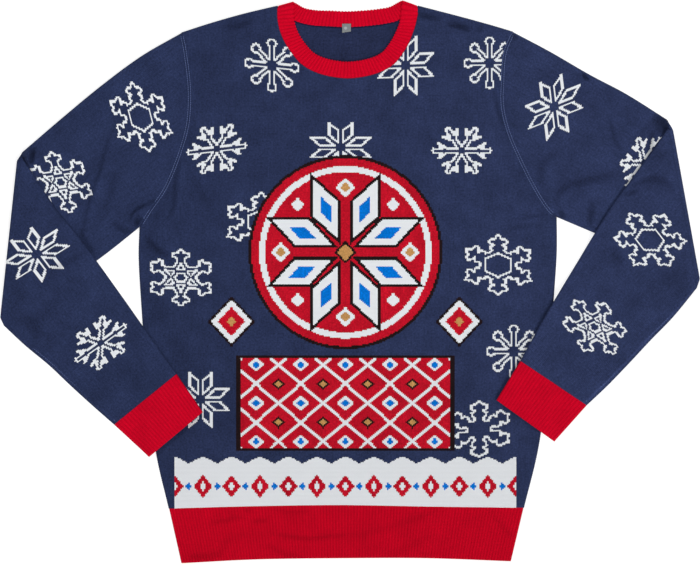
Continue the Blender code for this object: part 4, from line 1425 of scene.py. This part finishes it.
class SWEATER_OT_sleeves(bpy.types.Operator):
    """The two sleeves, flattened tubes that turn over at the elbow"""

    bl_idname = "sweater.sleeves"
    bl_label = "Sleeves"

    def make(self, settings, side, arm):
        """One sleeve: upper arm, elbow fold and forearm in one tube."""
        seam = smooth_curve(ARMHOLES, ACROSS, *arm["columns"])
        bow = seam - (seam[0] + ACROSS[:, None] * (seam[-1] - seam[0]))
        straighten = 1 - smoothstep(SLEEVE_SHARES / ARMHOLE_FADE)
        upper = arm_plan(arm["upper"]) + straighten[:, None, None] * bow[None]
        lower = arm_plan(arm["forearm"])
        off_panel = sideways(unit(np.gradient(seam, axis=0))) * np.sign(seam[0, 0])
        upper[0] = seam + 1.2 * SEAM_GAP * off_panel
        lower[-1] += SEAM_GAP / 2 * unit(lower[-2] - lower[-1])
        fold_middle, fold_normal, outward = elbow_fold(upper[-1], lower[0])
        flat = np.dstack([upper, np.full(upper.shape[:2], TUBE_HALF)])
        away = np.abs((lower - lower[0, 0]) @ outward)
        rest = drape_height(lower, arm["supports"]) + TUBE_HALF
        height = settled_height(away, rest, FOLD_TOP)
        middle = np.array([*flat, *fold_middle, *np.dstack([lower, height])])
        normal = [(0, 0, 1)] * len(upper) + fold_normal + [(0, 0, -1)] * len(lower)
        normal = np.array(normal, float)[:, None, :]
        inward = smoothstep(np.minimum(ACROSS, 1 - ACROSS) * 40)[None]
        share = SLEEVE_SHARES[:, None]
        seam_side = smoothstep(share * 30)
        # Painted shade in the upper arm's creases
        top, top_shade = creases(upper, side + "_upper")
        top = (top + swell(upper, SLEEVE_SWELL)) * inward * seam_side
        # Painted shade in the forearm's creases
        over, over_shade = creases(lower, side + "_lower")
        width = np.linalg.norm(lower[:, -1] - lower[:, 0], axis=1)[:, None]
        ridge = np.exp(-((((1 - ACROSS) * width - UNDERARM_INSET) / 1.7) ** 2))
        ridge = ridge * smoothstep(share * 8)
        over = over + swell(lower, SLEEVE_SWELL) + UNDERARM_RIDGE * ridge
        over = over * inward * seam_side[::-1] * smoothstep(share * 20)
        # Painted highlight on the underarm ridge, stronger on the right sleeve, where more light
        # falls
        over_shade = over_shade - arm["rubbed"] * ridge * smoothstep(share * 2.5)
        over_shade = over_shade - 1.3 * arm["pale"] * np.exp(-((ACROSS * width / 30) ** 2))
        still = np.zeros((len(fold_middle), len(ACROSS)))
        lifts = np.vstack([top, still, 0 * over]), np.vstack([0 * top, still, over])
        outer, inner = tube_grids(middle, normal, ACROSS, 0, lifts)
        shade = np.zeros(outer.shape[:2])
        shade[: len(upper), : len(ACROSS)] = top_shade - arm["pale"]
        shade[-len(lower) :, len(ACROSS) :] = over_shade[:, -2:0:-1]
        cloth = unrolled(upper, lower, outward, arm["knit_way"])
        cloth = np.concatenate([cloth, cloth[:, -2::-1]], axis=1)
        outside = jersey(settings, "acrylic_jersey_snowflakes", (2, 3, 4, 5))
        materials = (outside, jersey(settings, "acrylic_jersey_reverse", reverse=True))
        name = side + "_sleeve_knit"
        piece = knit_wall(name, outer, inner, cloth, materials, closed=True, shade=shade)
        faces = np.arange((outer.shape[0] - 1) * outer.shape[1]).reshape(-1, outer.shape[1])
        split = len(upper) + len(fold_middle) // 2
        place_flakes(piece, side + "_upper", faces[:split].ravel())
        place_flakes(piece, side + "_lower", faces[split:].ravel())
        settle(piece, [side + "_sleeve"])

    def execute(self, context):
        for side, arm in ARMS.items():
            self.make(context.scene.sweater, side, arm)
        return {"FINISHED"}


class SWEATER_OT_cuffs(bpy.types.Operator):
    """The two cuffs, flattened tubes of rib at the ends of the forearms"""

    bl_idname = "sweater.cuffs"
    bl_label = "Cuffs"

    def make(self, settings, side, arm):
        """One cuff, from the forearm's last section to the cuff's end."""
        pitch = settings.cuff_pitch / MM
        seam = np.array(arm["forearm"][-1], float).reshape(2, 2)
        end = np.array(arm["cuff_end"], float).reshape(2, 2)
        ribs = round(np.linalg.norm(seam[1] - seam[0]) / pitch)
        across = np.linspace(0, 1, RIB_COLUMNS * ribs + 1)
        length = np.linalg.norm(end.mean(axis=0) - seam.mean(axis=0))
        down = rib_rows(SEAM_GAP / 2, length, RIB_ROWS)
        edges = seam[None] + (down / length)[:, None, None] * (end - seam)[None]
        plan = edges[:, :1] + across[None, :, None] * (edges[:, 1:] - edges[:, :1])
        rib = settings.rib_height / MM
        height = drape_height(plan, arm["supports"]) + TUBE_HALF + rib
        crest = np.sin(np.pi * np.arange(len(across)) / RIB_COLUMNS)[None] ** 2
        from_edge = length - down[:, None]
        grow = smoothstep(down / RIB_FADE)[:, None] * (0.2 + 0.8 * smoothstep(from_edge / 1.5))
        between = smoothstep(np.minimum(across, 1 - across) * 30)[None]
        roll = RIB_EDGE_ROLL * (1 - rounded(from_edge, 1.4)) * between
        soft = swell(plan * 2.2, CUFF_SWELL) * between * smoothstep(down / 12)[:, None]
        relief = rib * crest * grow - roll
        middle = np.dstack([plan, height])
        outer, inner = tube_grids(middle, np.array([0, 0, -1.0]), across, relief, (0, soft))
        place = np.concatenate([across, 2 - across[-2::-1]]) * ribs * pitch
        cloth = np.dstack(np.meshgrid(place, -down))
        materials = (rib_material("acrylic_rib_cuff", settings.cuff_red, pitch, 0.25),)
        piece = knit_wall(side + "_cuff_knit", outer, inner, cloth, materials, closed=True)
        settle(piece, [side + "_cuff"])

    def execute(self, context):
        for side, arm in ARMS.items():
            self.make(context.scene.sweater, side, arm)
        return {"FINISHED"}


class SWEATER_OT_label(bpy.types.Operator):
    """The bare size label, a woven tab over the back neck seam"""

    bl_idname = "sweater.label"
    bl_label = "Size Label"

    def execute(self, context):
        settings = context.scene.sweater
        on_band = BAND_THICKNESS + settings.rib_height / MM + LAYER_GAP
        on_panel = CLOTH + LAYER_GAP
        rows = np.linspace(0, 1, 19)
        x = LABEL_CENTRE_X + LABEL_WIDTH * (even_to_ends(15) - 0.5)
        plan = np.dstack(np.meshgrid(x, LABEL_TOP_Y - LABEL_DROP * rows))
        plan[..., 1] += LABEL_SKEW * rows[:, None] * (x - LABEL_CENTRE_X)
        level = on_band + (on_panel - on_band) * smoothstep((rows - 0.4) / 0.22)
        edge = np.minimum.reduce(edge_distance(plan))
        high = level[:, None] + LABEL_THICKNESS * (0.4 + 0.6 * rounded(edge, 0.6))
        materials = (label_material(settings.label_grey),)
        piece = flat_wall("label_weave", plan, level[:, None], high, materials)
        settle(piece, ["size_label"])
        return {"FINISHED"}


def along_path(path, run, at, reach=None):
    """Points of a path at the given lengths of its run, and the three directions there."""
    centre = read_at(path, run, at)
    if reach is None:
        way = unit(np.gradient(centre, axis=0))
    else:
        way = unit(read_at(path, run, at + reach) - read_at(path, run, at - reach))
    side = unit(np.column_stack([sideways(way), 0 * way[:, 0]]))
    return centre, way, side, np.cross(way, side)


def stitch_row(path, pitch, length, radius):
    """Points and faces of a row of straight stitches along a path of 3-D points.

    Each stitch is a bar of six sides whose radius follows sin(pi t)^0.4 along it.
    """
    run = run_length(path)
    count = int(run[-1] / pitch)
    directions = along_path(path, run, (np.arange(count) + 0.5) * pitch, 0.1)
    centre, way, side, over = (each[:, None, None] for each in directions)
    t = np.linspace(0.02, 0.98, 5)
    angle = np.linspace(0, 2 * np.pi, 6, endpoint=False)
    along = ((t - 0.5) * length)[:, None] + 0 * angle
    thick = radius * np.sin(np.pi * t)[:, None] ** 0.4
    beside, up = thick * np.cos(angle), thick * np.sin(angle)
    bars = centre + along[..., None] * way + beside[..., None] * side + up[..., None] * over
    index = np.arange(30).reshape(5, 6)
    ends = np.array([[0, 5, 4, 3], [0, 3, 2, 1], [24, 25, 26, 27], [24, 27, 28, 29]])
    faces = np.vstack([grid_faces(np.hstack([index, index[:, :1]])), ends])
    faces = (faces[None] + 30 * np.arange(count)[:, None, None]).reshape(-1, 4)
    return bars.reshape(-1, 3), faces


def cord(path, radius, link_length):
    """Points and faces of a round cord along a path, with small swellings like a chain's links.

    Its radius is the given one times 0.7 + 0.3 |sin(pi s / link length)|, with s measured along.
    """
    run = run_length(path)
    at = np.linspace(0.2, run[-1] - 0.2, int(run[-1] / link_length * 4) + 2)
    centre, _, side, over = along_path(path, run, at)
    angle = np.linspace(0, 2 * np.pi, 8, endpoint=False)
    thick = radius * (0.7 + 0.3 * np.abs(np.sin(np.pi * at / link_length)))
    beside, up = np.outer(thick, np.cos(angle)), np.outer(thick, np.sin(angle))
    points = centre[:, None] + beside[..., None] * side[:, None] + up[..., None] * over[:, None]
    index = np.arange(8 * len(at)).reshape(-1, 8)
    faces = grid_faces(np.hstack([index, index[:, :1]]))
    ends = np.array([[0, 3, 2, 1], [0, 5, 4, 3], [0, 7, 6, 5]])
    return points.reshape(-1, 3), np.vstack([faces, index[0][ends], index[-1][ends[:, ::-1]]])


def sewing_piece(name, rows, material):
    """One piece made of several rows of stitches, with its faces turned outwards."""
    firsts = np.cumsum([0, *(len(points) for points, _ in rows)])
    points = np.concatenate([points for points, _ in rows]) * MM
    faces = np.concatenate([faces + first for (_, faces), first in zip(rows, firsts)])
    if inside_out(points, faces):
        faces = faces[:, ::-1]
    settle(mesh_piece(name, points, faces, (material,)), [])


class SWEATER_OT_sewing(bpy.types.Operator):
    """The seams' thread: at the armholes and along the forearms' under edges"""

    bl_idname = "sweater.sewing"
    bl_label = "Sewing"

    def strip(self, settings, side, arm):
        """The flat seam of one armhole, and the paths of the two rows of thread on it."""
        seam = smooth_curve(ARMHOLES, np.linspace(0.012, 0.985, 170), *arm["columns"])
        off = sideways(unit(np.gradient(seam, axis=0))) * np.sign(seam[0, 0])
        share = np.linspace(0, 1, len(seam))
        level = STRIP_LEVEL - 1 + smoothstep(np.minimum(share, 1 - share) * 30)
        across = np.linspace(-1, 1, 17)[:, None]
        form = np.sqrt(1 - 0.98 * across**2) - 0.5 * np.exp(-((across / 0.22) ** 2))
        plan = seam[None] + STRIP_HALF * across[..., None] * off[None]
        cloth = np.dstack(np.meshgrid(share * 260, across[:, 0] * STRIP_HALF))[..., ::-1]
        low, high = level[None] - 0.5 + 0.6 * form, level[None] + 0.95 * form
        materials = (jersey(settings, "acrylic_jersey_plain"),)
        settle(flat_wall(side + "_armhole_seam", plan, low, high, materials, cloth), [])
        return [np.column_stack([seam + beside * off, level + up]) for beside, up in ARMHOLE_ROWS]

    def execute(self, context):
        pale = thread_material("polyester_thread_pale", linear("#6878a6"))
        rows = []
        for side, arm in ARMS.items():
            paths = self.strip(context.scene.sweater, side, arm)
            rows += [stitch_row(path, *ARMHOLE_STITCH) for path in paths]
        sewing_piece("armhole_sewing", rows, pale)
        rows = []
        for arm in ARMS.values():
            shares = np.linspace(0.1, 0.99, 160)
            upper = smooth_curve(arm["forearm"], shares, 0, 1)
            under = smooth_curve(arm["forearm"], shares, 2, 3)
            line = under + UNDERARM_INSET * unit(upper - under)
            away = np.linalg.norm(line - line[0], axis=1) + 20
            rest = drape_height(line, arm["supports"]) + 2 * TUBE_HALF
            height = settled_height(away, rest, FOLD_TOP + TUBE_HALF)
            path = np.column_stack([line, height + UNDERARM_LIFT])
            rows.append(stitch_row(path, *UNDERARM_STITCH))
        sewing_piece("underarm_sewing", rows, pale)
        return {"FINISHED"}


class SWEATER_OT_linking(bpy.types.Operator):
    """The chains of yarn that link the knitted pieces at their seams"""

    bl_idname = "sweater.linking"
    bl_label = "Linking"

    def chain(self, table, start, end, level, size, *columns):
        """A cord along a curve through a table's columns, between two shares of its length."""
        line = smooth_curve(table, np.linspace(start, end, CHAIN_POINTS), *columns)
        return cord(np.column_stack([line, np.full(CHAIN_POINTS, level)]), *size)

    def execute(self, context):
        settings = context.scene.sweater
        front = 2 * CLOTH + LAYER_GAP
        rows = [self.chain(FRONT_NECK, 0.01, 0.99, front - 0.2, NECK_CHAIN, 0, 1)]
        for level in (CLOTH - 0.6, front - 0.55):
            rows.append(self.chain(HEM_LINES, 0.002, 0.998, level, END_CHAIN, 0, 1))
        for arm in ARMS.values():
            ends = np.array(arm["forearm"][-1], float).reshape(2, 2)
            share = np.linspace(0.02, 0.98, CHAIN_POINTS)[:, None]
            line = ends[0] + share * (ends[1] - ends[0])
            rest = drape_height(line, arm["supports"])
            for level in (0.6, 2 * TUBE_HALF - 0.5):
                rows.append(cord(np.column_stack([line, rest + level]), *END_CHAIN))
        # Real linking chains, in a darker red that is partly painted shade at the seams' edges
        sewing_piece("red_linking", rows, yarn_material("acrylic_yarn_red", settings.linking_red))
        rows = []
        for arm in ARMS.values():
            for table in (BODY_SIDES, SHOULDERS):
                level = CLOTH + LAYER_GAP / 2
                rows.append(self.chain(table, 0, 1, level, SIDE_CHAIN, *arm["columns"]))
        sewing_piece("navy_linking", rows, yarn_material("acrylic_yarn_navy", settings.navy))
        # A real linking chain at the back neck seam, coloured near black as painted shadow from
        # the band
        rows = [self.chain(BACK_NECK, 0.02, 0.98, CLOTH - 0.1, BACK_NECK_CHAIN, 0, 1)]
        shadow_yarn = yarn_material("acrylic_yarn_painted_shadow", settings.linking_shadow)
        sewing_piece("back_neck_linking", rows, shadow_yarn)
        return {"FINISHED"}


class SWEATER_OT_stage(bpy.types.Operator):
    """Pale floor, soft studio light and a camera straight above"""

    bl_idname = "sweater.stage"
    bl_label = "Stage"

    def execute(self, context):
        scene = context.scene
        stage = scene.sweater_stage
        # Matt white paint: a pale ground with hardly any grain
        material, add, shader = new_material("matt_white_paint_floor", 0.9)
        grain = add("TexNoise", out="Fac", Vector=add("TexCoord", out="Object"), Scale=3.0)
        link(shader, "Base Color", add("Math", "MULTIPLY_ADD", grain, 0.01, 0.4))
        shader.inputs["Emission Color"].default_value = (1, 1, 1, 1)
        shader.inputs["Emission Strength"].default_value = FLOOR_GLOW
        corners = FLOOR_HALF * np.array([[-1, -1, 0], [1, -1, 0], [1, 1, 0], [-1, 1, 0]])
        corners = corners - [0, 0, FLOOR_DROP]
        floor = mesh_piece("floor", corners, np.array([[0, 1, 2, 3]]), (material,))
        scene.world = bpy.data.worlds.new("studio")
        scene.world.use_nodes = True
        sky = scene.world.node_tree.nodes["Background"]
        sky.inputs["Color"].default_value = (1, 1, 1, 1)
        sky.inputs["Strength"].default_value = stage.sky
        lamps = (
            ("main_lamp", stage.main_lamp, (0.38, -0.52, 0.76)),
            ("fill_lamp", stage.fill_lamp, (-0.3, 0.56, 0.77)),
        )
        for name, strength, way in lamps:
            lamp = bpy.data.lights.new(name, "SUN")
            lamp.energy = strength
            lamp.angle = np.radians(LAMP_SPREAD)
            holder = bpy.data.objects.new(name, lamp)
            holder.rotation_euler = Vector(way).to_track_quat("Z", "Y").to_euler()
            scene.collection.objects.link(holder)
        camera_data = bpy.data.cameras.new("camera")
        camera_data.lens = camera_data.sensor_width * stage.camera_height / stage.view_width
        camera_data.clip_end = 50
        scene.camera = bpy.data.objects.new("camera", camera_data)
        scene.camera.location = (0, CAMERA_Y, stage.camera_height)
        scene.collection.objects.link(scene.camera)
        scene.view_settings.view_transform = "Standard"
        scene.view_settings.look = "None"
        return {"FINISHED"}


OPERATORS = (
    SWEATER_OT_stage,
    SWEATER_OT_back,
    SWEATER_OT_front,
    SWEATER_OT_hem,
    SWEATER_OT_neckband,
    SWEATER_OT_sleeves,
    SWEATER_OT_cuffs,
    SWEATER_OT_label,
    SWEATER_OT_sewing,
    SWEATER_OT_linking,
)


class SWEATER_PT_pieces(bpy.types.Panel):
    """Lists the pieces of the sweater and their settings"""

    bl_idname = "SWEATER_PT_pieces"
    bl_label = "Christmas Sweater"
    bl_space_type = "VIEW_3D"
    bl_region_type = "UI"
    bl_category = "Sweater"

    def draw(self, context):
        for group in (context.scene.sweater, context.scene.sweater_stage):
            for name in group.bl_rna.properties.keys():
                if name not in ("rna_type", "name"):
                    self.layout.prop(group, name)
        for operator in OPERATORS:
            self.layout.operator(operator.bl_idname)


CLASSES = (SweaterSettings, StageSettings, *OPERATORS, SWEATER_PT_pieces)


def register():
    """Registers the classes and hangs the settings on the scene."""
    for made in CLASSES:
        bpy.utils.register_class(made)
    bpy.types.Scene.sweater = PointerProperty(type=SweaterSettings)
    bpy.types.Scene.sweater_stage = PointerProperty(type=StageSettings)


def unregister():
    """Takes the settings and the classes away again."""
    del bpy.types.Scene.sweater_stage
    del bpy.types.Scene.sweater
    for made in reversed(CLASSES):
        bpy.utils.unregister_class(made)


def main():
    """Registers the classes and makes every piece."""
    register()
    bpy.ops.sweater.stage()
    bpy.ops.sweater.back()
    bpy.ops.sweater.front()
    bpy.ops.sweater.hem()
    bpy.ops.sweater.neckband()
    bpy.ops.sweater.sleeves()
    bpy.ops.sweater.cuffs()
    bpy.ops.sweater.label()
    bpy.ops.sweater.sewing()
    bpy.ops.sweater.linking()


if __name__ == "__main__":
    main()
